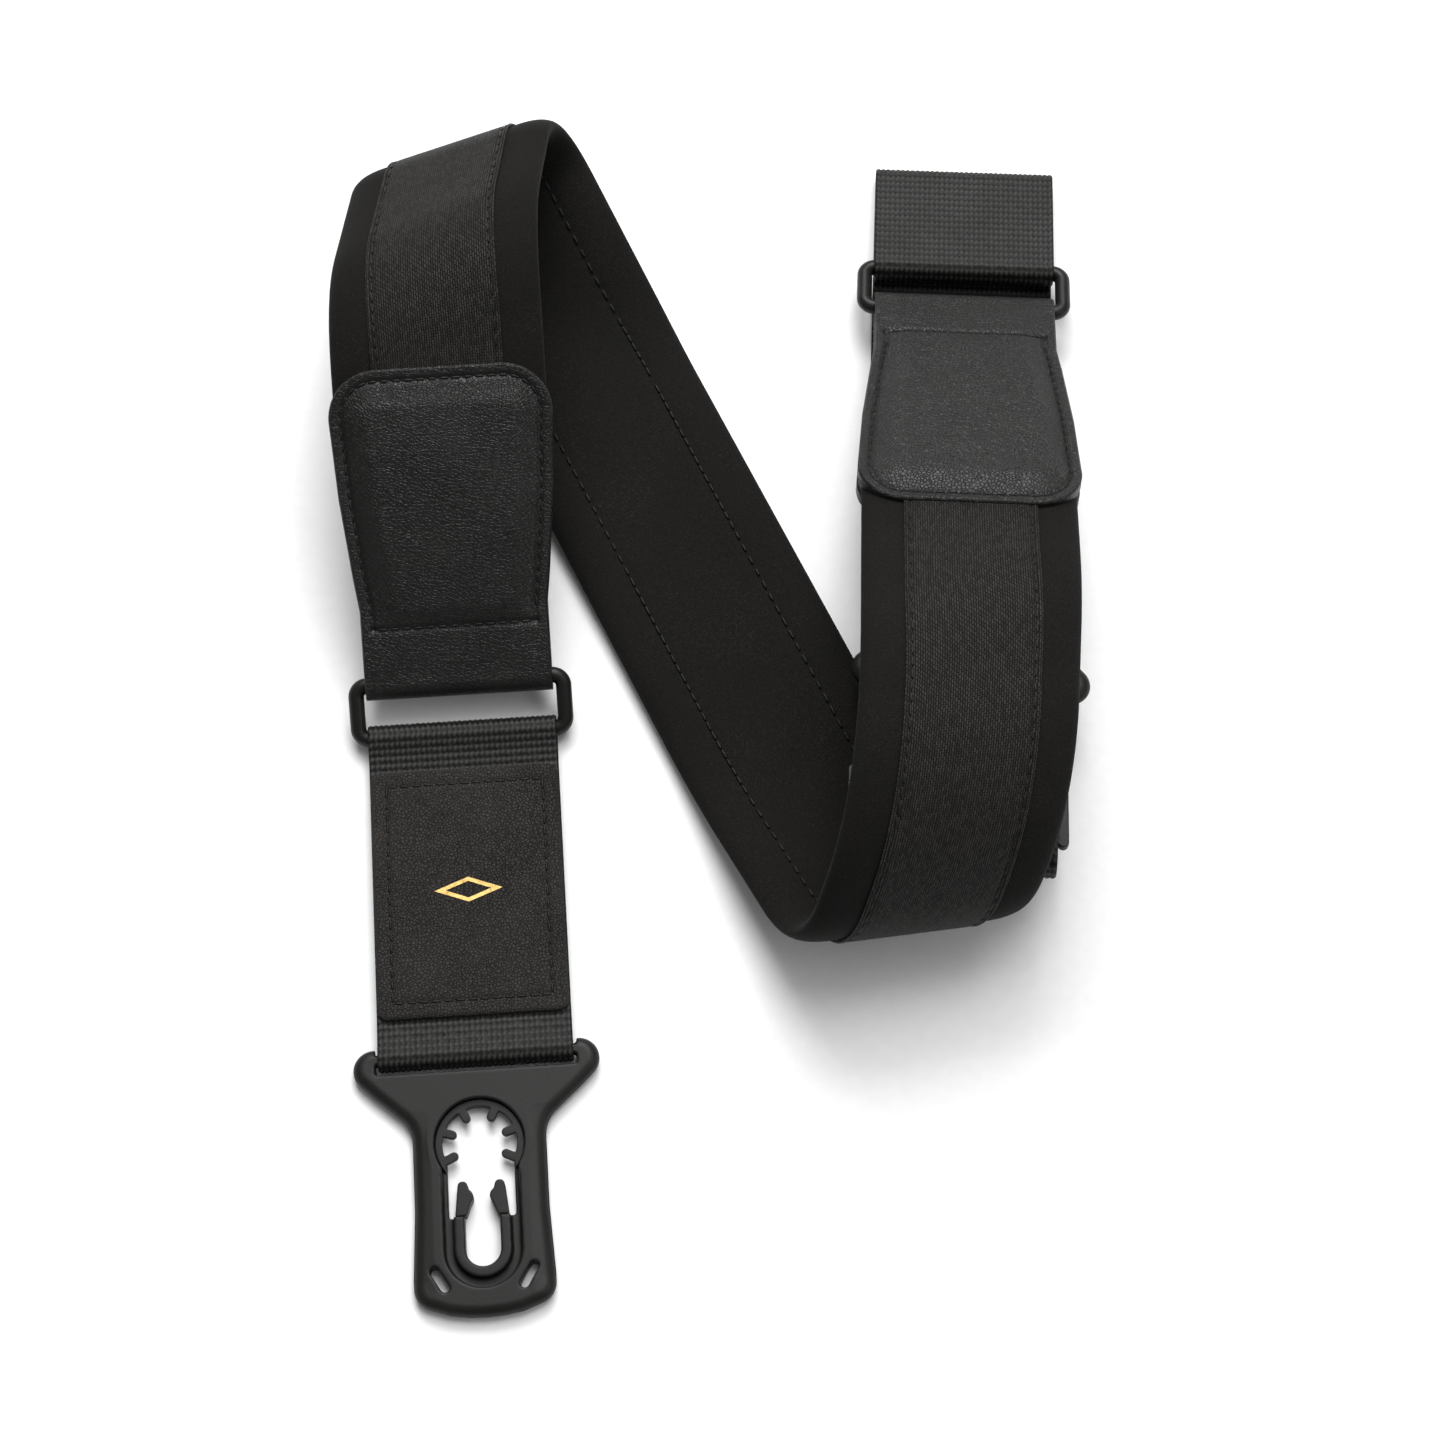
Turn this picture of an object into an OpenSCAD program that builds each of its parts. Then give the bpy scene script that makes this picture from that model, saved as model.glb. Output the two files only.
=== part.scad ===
// Instrument strap: a padded neoprene band folded over on itself, with a stitched
// leather end, a rectangular ring, webbing and a locking end block at each end.
// The band lies back-up on the ground in the middle and rolls up at both ends, so
// that both leather ends lie face-up. Millimetres, Z up, ground at Z = 0.

/* [Padded band] */
// Width of the padded band
pad_w = 57; // [50:1:64]
// Thickness of the padded band
pad_t = 7; // [5:0.5:8]
// Width of the woven strip along its face
strip_w = 35; // [28:1:40]
// Thickness of the woven strip
strip_t = 0.8; // [0.6:0.1:1.2]
// Length of band from its middle to the front ring
front_len = 307; // [300:1:320]
// Length of band from its middle to the rear ring
rear_len = 346; // [340:1:356]

/* [Leather ends] */
// Width at the ring
leather_ring_w = 50.6; // [46:0.2:51]
// Greatest width, over the padded band
leather_w = 60; // [58:1:64]
// Length of a leather end
leather_len = 88; // [80:1:90]
// Thickness of one layer of leather
leather_t = 1.7; // [1.2:0.1:2]

/* [Rings] */
// Outer width of a ring
ring_w = 60; // [60:0.5:62]
// Distance between the middles of its two long bars
ring_reach = 14.5; // [14:0.5:16]
// Diameter of its bars
ring_d = 4.2; // [3.6:0.2:4.4]

/* [Webbing] */
// Width of the webbing
web_w = 50.8; // [48:0.4:51]
// Thickness of one layer
web_t = 1.5; // [1.2:0.1:1.6]
// Distance from the front ring's lower bar to the lock's bar
tab_len = 89; // [85:1:100]
// Length of the leather patch sewn on the front webbing
patch_len = 68; // [60:1:70]
// Width of the patch
patch_w = 50; // [44:0.5:50.5]

/* [Locks] */
// Width of a lock from wing tip to wing tip
lock_span = 64; // [62:0.5:68]
// Length of a lock from its bar to its lower edge
lock_len = 67.7; // [66:0.1:70]
// Thickness of a lock
lock_t = 5.2; // [4.6:0.2:6]
// Radius of the seat that holds a strap button's neck
seat_r = 4.5; // [4:0.1:4.6]

/* [Hidden] */
$fn = 48;

neoprene_colour = [0.10, 0.09, 0.085];
strip_colour = [0.16, 0.15, 0.145];
leather_colour = [0.07, 0.065, 0.06];
web_colour = [0.20, 0.19, 0.18];
plastic_colour = [0.13, 0.125, 0.12];
foil_colour = [0.70, 0.55, 0.25];

// ---- Route of the band ---------------------------------------------------------
// The band starts flat on the ground at its middle and leaves it both ways. Each
// bend is [start, length, angle, skew]: the start is measured along the band, the
// bend curls away from the face, and its fold line is skewed from square.
middle_at = [-7.3, 42.9, pad_t / 2 + strip_t];
middle_heading = -63.5;
front_bends = [[69.5, 22, 25.5, -40], [117.5, 32, 128.5, -10.5], [175, 34, 54.5, -19]];
rear_bends = [[63, 28, 20, 36], [112, 32, 104.5, 16], [149, 48, 57, 11], [208, 22, 23, 27]];
front_skew = [[0, 0], [84, -40], [133.8, -10.5], [193, -19], [219, 0], [front_len, 0]];
rear_skew = [[0, 0], [80, 36], [128.6, 16], [173.5, 11], [220, 27], [258, 0], [rear_len, 0]];
// Where each roll is hinged, along the band's middle line
front_hinge_s = front_bends[1][0] + front_bends[1][1] / 2 / cos(front_bends[1][3]);
rear_hinge_s = rear_bends[1][0] + rear_bends[1][1] / 2 / cos(rear_bends[1][3]);
hinge_gap = 0.4;
// Width positions of the points on the band's faces
pad_across = [-0.5, -0.46, -0.25, 0, 0.25, 0.46, 0.5];
ring_step = 5.5;

// Frame at the middle of the band, for the front (-1) and the rear (+1) way out.
// A frame is [origin, matrix], the matrix's columns being along, across and face.
function transpose3(m) = [for (i = [0:2]) [for (j = [0:2]) m[j][i]]];
function middle_frame(way) =
    let (c = cos(middle_heading), s = sin(middle_heading))
    [middle_at, transpose3([[way * c, way * s, 0], [-s, c, 0], [0, 0, -1]])];
function outer(a, b) = [for (i = [0:2]) b * a[i]];
function bend_dir(b) = [cos(b[3]), -sin(b[3]), 0];
function fold_dir(b) = [sin(b[3]), cos(b[3]), 0];
function into_bend(p, b) = (p[0] - b[0]) * cos(b[3]) - p[1] * sin(b[3]);
function bend_shift(b, a) =
    let (r = b[1] / (b[2] * PI / 180))
    bend_dir(b) * r * sin(a) - [0, 0, r * (1 - cos(a))];
function bent(p, b, t) =
    let (a = b[2] * t / b[1])
    [p[0], p[1], 0] - bend_dir(b) * t + bend_shift(b, a)
        + p[2] * (bend_dir(b) * sin(a) + [0, 0, cos(a)]);
function bend_turn(b) =
    let (n = bend_dir(b), f = fold_dir(b), up = [0, 0, 1], a = b[2])
    outer(n * cos(a) - up * sin(a), n) + outer(f, f) + outer(up * cos(a) + n * sin(a), up);
function past_bend(frame, b) =
    let (turn = bend_turn(b), start = [b[0], 0, 0])
    let (move = start + bend_shift(b, b[2]) - turn * (start + bend_dir(b) * b[1]))
    [frame[0] + frame[1] * move, frame[1] * turn];
// World position of a point [along, across, height over the middle surface]
function place(p, bends, frame, i = 0) =
    i >= len(bends) ? frame[0] + frame[1] * p :
    let (t = into_bend(p, bends[i]))
    t <= 0 ? frame[0] + frame[1] * p :
    t < bends[i][1] ? frame[0] + frame[1] * bent(p, bends[i], t) :
    place(p, bends, past_bend(frame, bends[i]), i + 1);
function end_frame(bends, frame, i = 0) =
    i >= len(bends) ? frame : end_frame(bends, past_bend(frame, bends[i]), i + 1);

function bends_of(way) = way < 0 ? front_bends : rear_bends;
function skew_at(way, s) = lookup(s, way < 0 ? front_skew : rear_skew);
// The middle piece spans both ways, so a negative s is measured along the front way
function on_band(s, w, h) =
    let (way = s < 0 ? -1 : 1, d = abs(s))
    place([d + w * tan(skew_at(way, d)), w, h], bends_of(way), middle_frame(way));

// Closed band between two places along the strap, from rings of points that follow
// the fold lines; outline holds [across, height] points in order round a section.
module band(from, to, outline) {
    steps = ceil((to - from) / ring_step);
    n = len(outline);
    points = [
        for (i = [0:steps])
            for (q = outline)
                on_band(from + (to - from) * i / steps, q[0], q[1])
    ];
    sides = [
        for (i = [0:steps - 1])
            for (j = [0:n - 1])
                [i * n + j, i * n + (j + 1) % n, (i + 1) * n + (j + 1) % n, (i + 1) * n + j]
    ];
    ends = [[for (j = [n - 1:-1:0]) j], [for (j = [0:n - 1]) steps * n + j]];
    polyhedron(points, concat(sides, ends));
}

// Section of the pad: flat faces with slightly rounded long edges
pad_outline = concat(
    [for (k = pad_across) [k * pad_w, (abs(k) == 0.5 ? 0.25 : 0.5) * pad_t]],
    [for (i = [6:-1:0]) let (k = pad_across[i]) [k * pad_w, (abs(k) == 0.5 ? -0.25 : -0.5) * pad_t]]
);
strip_lift = 0.1;
strip_outline = concat(
    [for (k = [-0.5, -0.2, 0.2, 0.5]) [k * strip_w, pad_t / 2 + strip_t]],
    [for (k = [0.5, 0.2, -0.2, -0.5]) [k * strip_w, pad_t / 2 + strip_lift]]
);
// The pad is tucked this far into each leather end
tuck = 17;
front_leather_s = front_len - leather_len;
rear_leather_s = rear_len - leather_len;

module pad_middle() {
    color(neoprene_colour)
        band(-front_hinge_s + hinge_gap / 2, rear_hinge_s - hinge_gap / 2, pad_outline);
}
module pad_front() {
    color(neoprene_colour)
        band(-front_leather_s - tuck, -front_hinge_s - hinge_gap / 2, pad_outline);
}
module pad_rear() {
    color(neoprene_colour)
        band(rear_hinge_s + hinge_gap / 2, rear_leather_s + tuck, pad_outline);
}
module strip_middle() {
    color(strip_colour)
        band(-front_hinge_s + hinge_gap / 2, rear_hinge_s - hinge_gap / 2, strip_outline);
}
module strip_front() {
    color(strip_colour)
        band(-front_leather_s + 1, -front_hinge_s - hinge_gap / 2, strip_outline);
}
module strip_rear() {
    color(strip_colour)
        band(rear_hinge_s + hinge_gap / 2, rear_leather_s - 1, strip_outline);
}

// ---- Leather ends --------------------------------------------------------------
// Drawn with the ring's bar at the origin: X away from the pad, Y across, Z the face.
fold_clear = 0.25;
fold_in = ring_d / 2 + fold_clear;
fold_out = fold_in + leather_t;
bar_s = fold_out;
pad_end_x = fold_out - leather_len;
tuck_x = pad_end_x + tuck;
crown = 6.8;
lip_x = -20;
layer_z = pad_t / 2 + 0.1;

function arc(c, r, a0, a1, n = 8) =
    [for (i = [0:n]) c + r * [cos(a0 + (a1 - a0) * i / n), sin(a0 + (a1 - a0) * i / n)]];

// Plan of a leather end, set in by a margin
module leather_plan(inset = 0) {
    half = leather_w / 2 - inset;
    ring_half = leather_ring_w / 2 - inset;
    corner = 13 - inset;
    x0 = pad_end_x + inset;
    side = concat(
        arc([x0 + corner, half - corner], corner, 180, 93),
        [[x0 + 34, half - 1.2], [x0 + 56, half - 3.6], [lip_x, ring_half], [fold_out, ring_half]]
    );
    polygon(concat(side, [for (i = [len(side) - 1:-1:0]) [side[i][0], -side[i][1]]]));
}
// Height of the leather's outer face along its length
cover_top = [
    [pad_end_x, layer_z + leather_t], [pad_end_x + 8, crown - 0.5], [pad_end_x + 24, crown],
    [pad_end_x + 46, crown - 0.2], [lip_x, crown - 1.3], [lip_x + 12, fold_out + 0.35]
];
module cover_profile() {
    tops = concat(cover_top, arc([0, 0], fold_out, 82, -90, 14));
    lip = [[lip_x, -layer_z - leather_t], [lip_x, -layer_z]];
    insides = concat(arc([0, 0], fold_in, -90, 82, 14),
        [for (i = [len(cover_top) - 1:-1:0]) cover_top[i] - [0, leather_t]]);
    polygon(concat(tops, lip, insides));
}
module leather_cover() {
    color(leather_colour)
        intersection() {
            rotate([90, 0, 0])
                linear_extrude(leather_w + 2, center = true)
                    cover_profile();
            translate([0, 0, -10])
                linear_extrude(20)
                    leather_plan();
        }
}
module leather_back() {
    color(leather_colour)
        intersection() {
            translate([0, 0, -layer_z - leather_t])
                linear_extrude(leather_t)
                    leather_plan();
            translate([pad_end_x - 1, -leather_w, -10])
                cube([lip_x - 0.1 - pad_end_x + 1, 2 * leather_w, 20]);
        }
}
// Foam between the layers, ahead of the tucked pad, wedge-shaped towards the bar
module leather_filler() {
    top_gap = leather_t + 0.15;
    profile = [
        [tuck_x + 0.3, -layer_z + 0.1], [tuck_x + 0.3, crown - 0.3 - top_gap],
        [pad_end_x + 46, crown - 0.2 - top_gap], [lip_x, crown - 1.3 - top_gap],
        [-9.5, 2.2], [-9.5, -0.9], [lip_x, -layer_z + 0.1]
    ];
    color(strip_colour)
        intersection() {
            rotate([90, 0, 0])
                linear_extrude(leather_w, center = true)
                    polygon(profile);
            translate([0, 0, -10])
                linear_extrude(20)
                    leather_plan(3.5);
        }
}

// ---- Rings ---------------------------------------------------------------------
// Upper bar at the origin, lower bar at X = ring_reach
module ring() {
    r = ring_d / 2;
    corner = 3;
    half = ring_w / 2 - r;
    color(plastic_colour) {
        for (x = [0, ring_reach])
            translate([x, 0, 0])
                rotate([90, 0, 0])
                    cylinder(h = 2 * (half - corner), r = r, center = true);
        for (side = [-1, 1])
            translate([ring_reach / 2, side * half, 0])
                rotate([0, 90, 0])
                    cylinder(h = ring_reach - 2 * corner, r = r, center = true);
        for (x = [0, 1], side = [-1, 1])
            translate([x * ring_reach + (1 - 2 * x) * corner, side * (half - corner), 0])
                rotate([0, 0, x == 0 ? (side > 0 ? 90 : 180) : (side > 0 ? 0 : 270)])
                    rotate_extrude(angle = 90)
                        translate([corner, 0])
                            circle(r);
    }
}

// ---- Webbing -------------------------------------------------------------------
bar_clear = 0.2;
ring_loop_in = ring_d / 2 + bar_clear;
ring_loop_out = ring_loop_in + web_t;
lock_bar_r = 1.6;
lock_loop_in = lock_bar_r + bar_clear;
lock_loop_out = lock_loop_in + web_t;
double_t = 2 * web_t + 0.1;

// Side view of webbing sewn round a bar at the origin; it narrows to two flat layers
// that run out along X
loop_lift = 14;
loop_flat_x = 10;
module loop_flare(r_out) {
    circle(r_out);
    polygon([
        [0, -r_out], r_out * [sin(loop_lift), -cos(loop_lift)], [loop_flat_x, -double_t / 2],
        [loop_flat_x, double_t / 2], r_out * [sin(loop_lift), cos(loop_lift)], [0, r_out]
    ]);
}
module loop_eye(r_in) {
    circle(r_in);
    polygon([
        r_in * [sin(loop_lift), cos(loop_lift)], r_in * [sin(loop_lift), -cos(loop_lift)],
        [loop_flat_x - 3, 0]
    ]);
}
module tab_side() {
    difference() {
        union() {
            loop_flare(ring_loop_out);
            translate([loop_flat_x - 1, -double_t / 2])
                square([tab_len - 2 * loop_flat_x + 2, double_t]);
            translate([tab_len, 0])
                mirror([1, 0])
                    loop_flare(lock_loop_out);
        }
        loop_eye(ring_loop_in);
        translate([tab_len, 0])
            mirror([1, 0])
                loop_eye(lock_loop_in);
    }
}
// Turns a side view into webbing: X of the side view becomes -Y and Y becomes Z
module web_extrude(width) {
    rotate([90, 0, -90])
        linear_extrude(width, center = true)
            children();
}

// ---- Lock ----------------------------------------------------------------------
// Bar at the origin, plate towards -Y, face up. Only the right half is drawn.
lock_top = 1.4;
lock_floor = lock_top - lock_t;
dial_y = -23;
dial_r = 11.6;
dial_hole_r = 9.8;
dial_floor = lock_top - 3.2;
teeth_r = 6.2;
tooth_w = 2.3;
tooth_angles = [-25, 20, 64, 116, 160, 205];
channel_half = 8.6;
prong_root_y = -42;
seat_y = prong_root_y - 8.5;
rim_half = 7.3;
web_slot_half = 26.2;
web_slot_y = -4;

function mirrored(half) = concat(half, [for (i = [len(half) - 1:-1:0]) [-half[i][0], half[i][1]]]);
module lock_outline() {
    tip = lock_span / 2;
    half = concat(
        [[0, 3.2], [23, 3.2]],
        arc([tip - 5.4, -2.2], 5.4, 84, -42, 10),
        [[tip - 5, -9.4], [22, -13.8]],
        arc([26, -22], 8.8, 126, 180, 8),
        [[17.2, -40], [18.1, -57.5]],
        arc([12.5, -59.6], 5.6, 5, -66, 8),
        [[9.4, -lock_len + 1], [4.7, -lock_len + 0.25], [0, -lock_len]]
    );
    polygon(mirrored(half));
}
module stadium(width, length) {
    square([width, length - width], center = true);
    for (side = [-1, 1])
        translate([0, side * (length - width) / 2])
            circle(width / 2);
}
module key_channel() {
    translate([0, dial_y])
        circle(dial_hole_r);
    translate([-channel_half, prong_root_y])
        square([2 * channel_half, dial_y - prong_root_y]);
    translate([-seat_r, seat_y])
        square([2 * seat_r, prong_root_y - seat_y + 1]);
    translate([0, seat_y])
        circle(seat_r);
}
module lock_plate() {
    bar_lip = 3.2 - lock_bar_r;
    color(plastic_colour) {
        difference() {
            translate([0, 0, lock_floor])
                linear_extrude(lock_t)
                    lock_outline();
            // Room for the webbing, leaving the wings joined by the round bar
            translate([-web_slot_half, web_slot_y, lock_floor - 1])
                cube([2 * web_slot_half, 3.2 - web_slot_y + 1, lock_t + 2]);
            translate([0, 0, lock_floor - 1])
                linear_extrude(lock_t + 2)
                    key_channel();
            translate([0, dial_y, dial_floor])
                cylinder(h = lock_t, r = dial_r);
            // Sunk floor round the seat's rim
            translate([0, 0, dial_floor + 0.6])
                linear_extrude(lock_t)
                    difference() {
                        union() {
                            translate([0, seat_y])
                                circle(rim_half + 2.6);
                            translate([-rim_half - 2.6, seat_y])
                                square([2 * rim_half + 5.2, dial_y - seat_y]);
                        }
                        translate([0, seat_y])
                            circle(rim_half);
                        translate([-rim_half, seat_y])
                            square([2 * rim_half, prong_root_y - seat_y]);
                    }
            // Slanted slots in the lower corners
            for (side = [-1, 1])
                translate([side * 11.4, -57.8, lock_floor - 1])
                    rotate([0, 0, side * -31])
                        linear_extrude(lock_t + 2)
                            stadium(2.3, 7.4);
        }
        rotate([0, 90, 0])
            cylinder(h = 2 * web_slot_half + 1, r = lock_bar_r, center = true);
    }
}
// Ring of clamping teeth that lies on the floor of the round seat
module lock_teeth() {
    fit = 0.1;
    color(plastic_colour)
        translate([0, dial_y, dial_floor + 0.02])
            linear_extrude(1.5) {
                difference() {
                    circle(dial_r - fit);
                    circle(dial_hole_r - 0.2);
                    translate([-channel_half - 0.2, -dial_r - 1])
                        square([2 * channel_half + 0.4, dial_r]);
                }
                for (a = tooth_angles)
                    rotate([0, 0, a]) {
                        translate([teeth_r + tooth_w / 2, -tooth_w / 2])
                            square([dial_r - 1 - teeth_r - tooth_w / 2, tooth_w]);
                        translate([teeth_r + tooth_w / 2, 0])
                            circle(tooth_w / 2);
                    }
            }
}
// Springy prong beside the mouth of the seat; side is -1 left, +1 right
prong_gap = 0.15;
module lock_prong(side) {
    root = prong_root_y + prong_gap;
    bulge = arc([4.2, -36.9], 2.1, 120, 225, 6);
    tip = arc([4.75, -34.2], 1.35, 0, 150, 6);
    outline = concat([[6.9, root], [6.1, -34.4]], tip, bulge, [[4, root]]);
    color(plastic_colour)
        mirror([side < 0 ? 1 : 0, 0, 0])
            translate([0, 0, lock_floor])
                linear_extrude(lock_t - 0.8)
                    polygon(outline);
}

// ---- Front end -----------------------------------------------------------------
front_end = end_frame(front_bends, middle_frame(-1));
rear_end = end_frame(rear_bends, middle_frame(1));
front_bar = front_end[0] + front_end[1] * [front_len - bar_s, 0, 0];
rear_bar = rear_end[0] + rear_end[1] * [rear_len - bar_s, 0, 0];

// Puts a leather end's drawing on the end of the band
module at_front_end() {
    m = front_end[1];
    multmatrix([for (i = [0:2]) [m[i][0], m[i][1], m[i][2], front_bar[i]]])
        children();
}
module at_rear_end() {
    m = rear_end[1];
    multmatrix([for (i = [0:2]) [m[i][0], -m[i][1], m[i][2], rear_bar[i]]])
        children();
}

// The ring slopes down from the leather's bar to a lower bar near the ground, and the
// tab lies level from there to the lock
front_lean = atan2(front_end[1][1][1], front_end[1][0][1]);
tab_z = ring_loop_out + 0.1;
front_ring_pitch = asin((front_bar[2] - tab_z) / ring_reach);
front_low = front_bar + ring_reach * [
    cos(front_ring_pitch) * sin(front_lean), -cos(front_ring_pitch) * cos(front_lean),
    -sin(front_ring_pitch)
];
module at_tab() {
    translate(front_low)
        rotate([0, 0, front_lean])
            children();
}
module front_ring() {
    translate(front_bar)
        rotate([0, 0, front_lean - 90])
            rotate([0, front_ring_pitch, 0])
                ring();
}
module front_webbing_tab() {
    color(web_colour)
        at_tab()
            web_extrude(web_w)
                tab_side();
}
patch_t = 1.5;
patch_z = double_t / 2 + 0.05;
patch_start = 10.8;
module rounded_patch(w, l, r) {
    for (x = [r - w / 2, w / 2 - r], y = [-r, r - l])
        translate([x, y])
            circle(r);
    translate([-w / 2, r - l])
        square([w, l - 2 * r]);
    translate([r - w / 2, -l])
        square([w - 2 * r, l]);
}
module front_patch() {
    color(leather_colour)
        at_tab()
            translate([0, -patch_start, patch_z])
                linear_extrude(patch_t)
                    rounded_patch(patch_w, patch_len, 3);
}
// Plain foil lozenge in place of any marking
module front_patch_ornament() {
    long = 9;
    short = 3.4;
    color(foil_colour)
        at_tab()
            translate([0, -patch_start - patch_len / 2, patch_z + patch_t + 0.02])
                linear_extrude(0.15)
                    difference() {
                        polygon([[long, 0], [0, short], [-long, 0], [0, -short]]);
                        polygon([[long - 3, 0], [0, short - 1.1], [3 - long, 0], [0, 1.1 - short]]);
                    }
}
module at_front_lock() {
    at_tab()
        translate([0, -tab_len, 0])
            children();
}

// ---- Rear end ------------------------------------------------------------------
// The webbing leaves the ring away from the pad, folds under and runs back below the
// leg. It climbs over the band, passes the slider, folds up and ends in the lock.
rear_lean = -atan2(rear_end[1][1][1], rear_end[1][0][1]);
rear_low_z = 7.9;
rear_ring_pitch = asin((rear_bar[2] - rear_low_z) / ring_reach);
rear_low = rear_bar + ring_reach * [
    cos(rear_ring_pitch) * sin(rear_lean), cos(rear_ring_pitch) * cos(rear_lean),
    -sin(rear_ring_pitch)
];
module rear_ring() {
    translate(rear_bar)
        rotate([0, 0, 90 - rear_lean])
            rotate([0, rear_ring_pitch, 0])
                ring();
}
// Side view of the rear webbing: X towards the slider from the ring's lower bar,
// Y up. The run turns under at the far fold.
far_x = -34;
ramp_x = 72.5;
ramp_angle = 8;
slider_x = 164;
run_end_x = slider_x - 15;
module at_rear_run() {
    translate([rear_low[0], rear_low[1], 0])
        rotate([0, 0, -rear_lean])
            children();
}
function ramp_z(x) = (x - ramp_x) * tan(ramp_angle);
// Flat layer along the ground and up the ramp, between two heights over its base
module layer_side(x0, x1, low, high) {
    mid = x0 < ramp_x ? [[ramp_x, 0]] : [];
    polygon(concat(
        [[x0, low + max(0, ramp_z(x0))]],
        [for (p = mid) p + [0, low]],
        [[x1, low + ramp_z(x1)], [x1, high + ramp_z(x1)]],
        [for (p = mid) p + [0, high]],
        [[x0, high + max(0, ramp_z(x0))]]
    ));
}
fold_gap = 0.4;
fold_r_out = double_t + fold_gap / 2;
module rear_run_side() {
    base = 0.1;
    // Loop round the ring's lower bar, with its two layers down to the far fold
    difference() {
        union() {
            translate([0, rear_low_z])
                circle(ring_loop_out);
            polygon([
                [0, rear_low_z - ring_loop_out],
                [0, rear_low_z + ring_loop_out],
                [-1.5, rear_low_z + ring_loop_out - 0.3],
                [far_x + fold_r_out, base + 2 * fold_r_out],
                [far_x + fold_r_out, base + double_t + fold_gap]
            ]);
        }
        translate([0, rear_low_z])
            circle(ring_loop_in);
        polygon([
            [-0.8, rear_low_z - ring_loop_in + 0.15], [-0.8, rear_low_z + ring_loop_in - 0.15],
            [-13, base + double_t + fold_gap + 3.1]
        ]);
    }
    // Far fold
    difference() {
        translate([far_x + fold_r_out, base + fold_r_out])
            circle(fold_r_out);
        translate([far_x + fold_r_out, base + fold_r_out])
            circle(fold_gap / 2);
        translate([far_x + fold_r_out, base - 1])
            square([20, 20]);
    }
    layer_side(far_x + fold_r_out, run_end_x, base, base + double_t);
}
module rear_webbing_run() {
    color(web_colour)
        at_rear_run()
            web_extrude(web_w)
                rear_run_side();
}

// Slider: its bars lie slider_lift above the underside of the run on the ramp
slider_w = 58;
slider_bar_r = 1.2;
slider_reach = 9.6;
slider_lift = 4.5;
module at_slider_side() {
    translate([slider_x, 0.1 + ramp_z(slider_x)])
        rotate(ramp_angle)
            children();
}
module at_slider() {
    at_rear_run()
        translate([0, -slider_x, 0.1 + ramp_z(slider_x)])
            rotate([-ramp_angle, 0, 0])
                translate([0, 0, slider_lift])
                    children();
}
module slider_frame() {
    side_w = 3;
    half = slider_w / 2 - side_w / 2;
    color(plastic_colour)
        at_slider() {
            for (y = [-slider_reach, 0, slider_reach])
                translate([0, y, 0])
                    rotate([0, 90, 0])
                        cylinder(h = 2 * half, r = slider_bar_r, center = true);
            for (side = [-1, 1]) {
                translate([side * half - side_w / 2, -slider_reach, -slider_bar_r])
                    cube([side_w, 2 * slider_reach, 2 * slider_bar_r]);
                for (y = [-1, 1])
                    translate([side * half, y * slider_reach, -slider_bar_r])
                        cylinder(h = 2 * slider_bar_r, r = side_w / 2);
            }
        }
}
// Sewn end of the webbing: the run's lower layer, taken round the slider's middle bar
module rear_webbing_anchor() {
    r_in = slider_bar_r + bar_clear;
    r_out = r_in + web_t;
    start = run_end_x - slider_x + 0.4;
    color(web_colour)
        at_rear_run()
            web_extrude(web_w)
                at_slider_side()
                    difference() {
                        union() {
                            translate([0, slider_lift])
                                circle(r_out);
                            polygon([
                                [start, 0], [start, web_t], [-8.5, web_t],
                                [-2.7, slider_lift - 0.9], [0, slider_lift - r_out + 0.3], [-7, 0]
                            ]);
                        }
                        translate([0, slider_lift])
                            circle(r_in);
                    }
}
// The run's upper layer goes under the slider's first bar, over its middle bar and
// under its last bar. Points are along the ramp from the slider, and up.
upper_mid = 1.5 * web_t + 0.1;
over_mid = slider_lift + slider_bar_r + bar_clear + web_t + 0.1 + web_t / 2;
tail_path = [
    [-14.6, upper_mid], [-11, upper_mid], [-8.8, upper_mid + 0.15], [-7.1, 3.6], [-5, 6.3],
    [-2.8, over_mid - 0.4], [0, over_mid], [2.8, over_mid - 0.4], [5, 6.3], [7.1, 3.6],
    [8.8, upper_mid + 0.15], [11, upper_mid], [13.4, upper_mid]
];
function unit(v) = v / norm(v);
function left_of(v) = [-v[1], v[0]];
function offset_path(path, d) = [
    for (i = [0:len(path) - 1])
        let (a = path[max(0, i - 1)], b = path[min(len(path) - 1, i + 1)])
        path[i] + d * left_of(unit(b - a))
];
module ribbon_side(path, t) {
    back = offset_path(path, -t / 2);
    polygon(concat(
        offset_path(path, t / 2),
        [for (i = [len(back) - 1:-1:0]) back[i]]
    ));
}
near_fold_r = 5;
module tail_side() {
    at_slider_side()
        ribbon_side(concat(
            tail_path,
            arc([15, upper_mid + near_fold_r], near_fold_r, -80, 90, 10)
        ), web_t);
}
// The tail leaves the near fold on its own lean, down to the lock's bar
tail_lean = -5.6;
tail_len = 49;
tail_drop = 10;
tail_top = [15, upper_mid + 2 * near_fold_r];
tail_start_x = slider_x + tail_top[0] * cos(ramp_angle) - tail_top[1] * sin(ramp_angle);
tail_start_z = 0.1 + ramp_z(slider_x) + tail_top[0] * sin(ramp_angle)
    + tail_top[1] * cos(ramp_angle);
tail_at = [
    rear_low[0] - tail_start_x * sin(rear_lean), rear_low[1] - tail_start_x * cos(rear_lean),
    tail_start_z
];
module at_tail() {
    translate(tail_at)
        rotate([0, 0, tail_lean])
            children();
}
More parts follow.
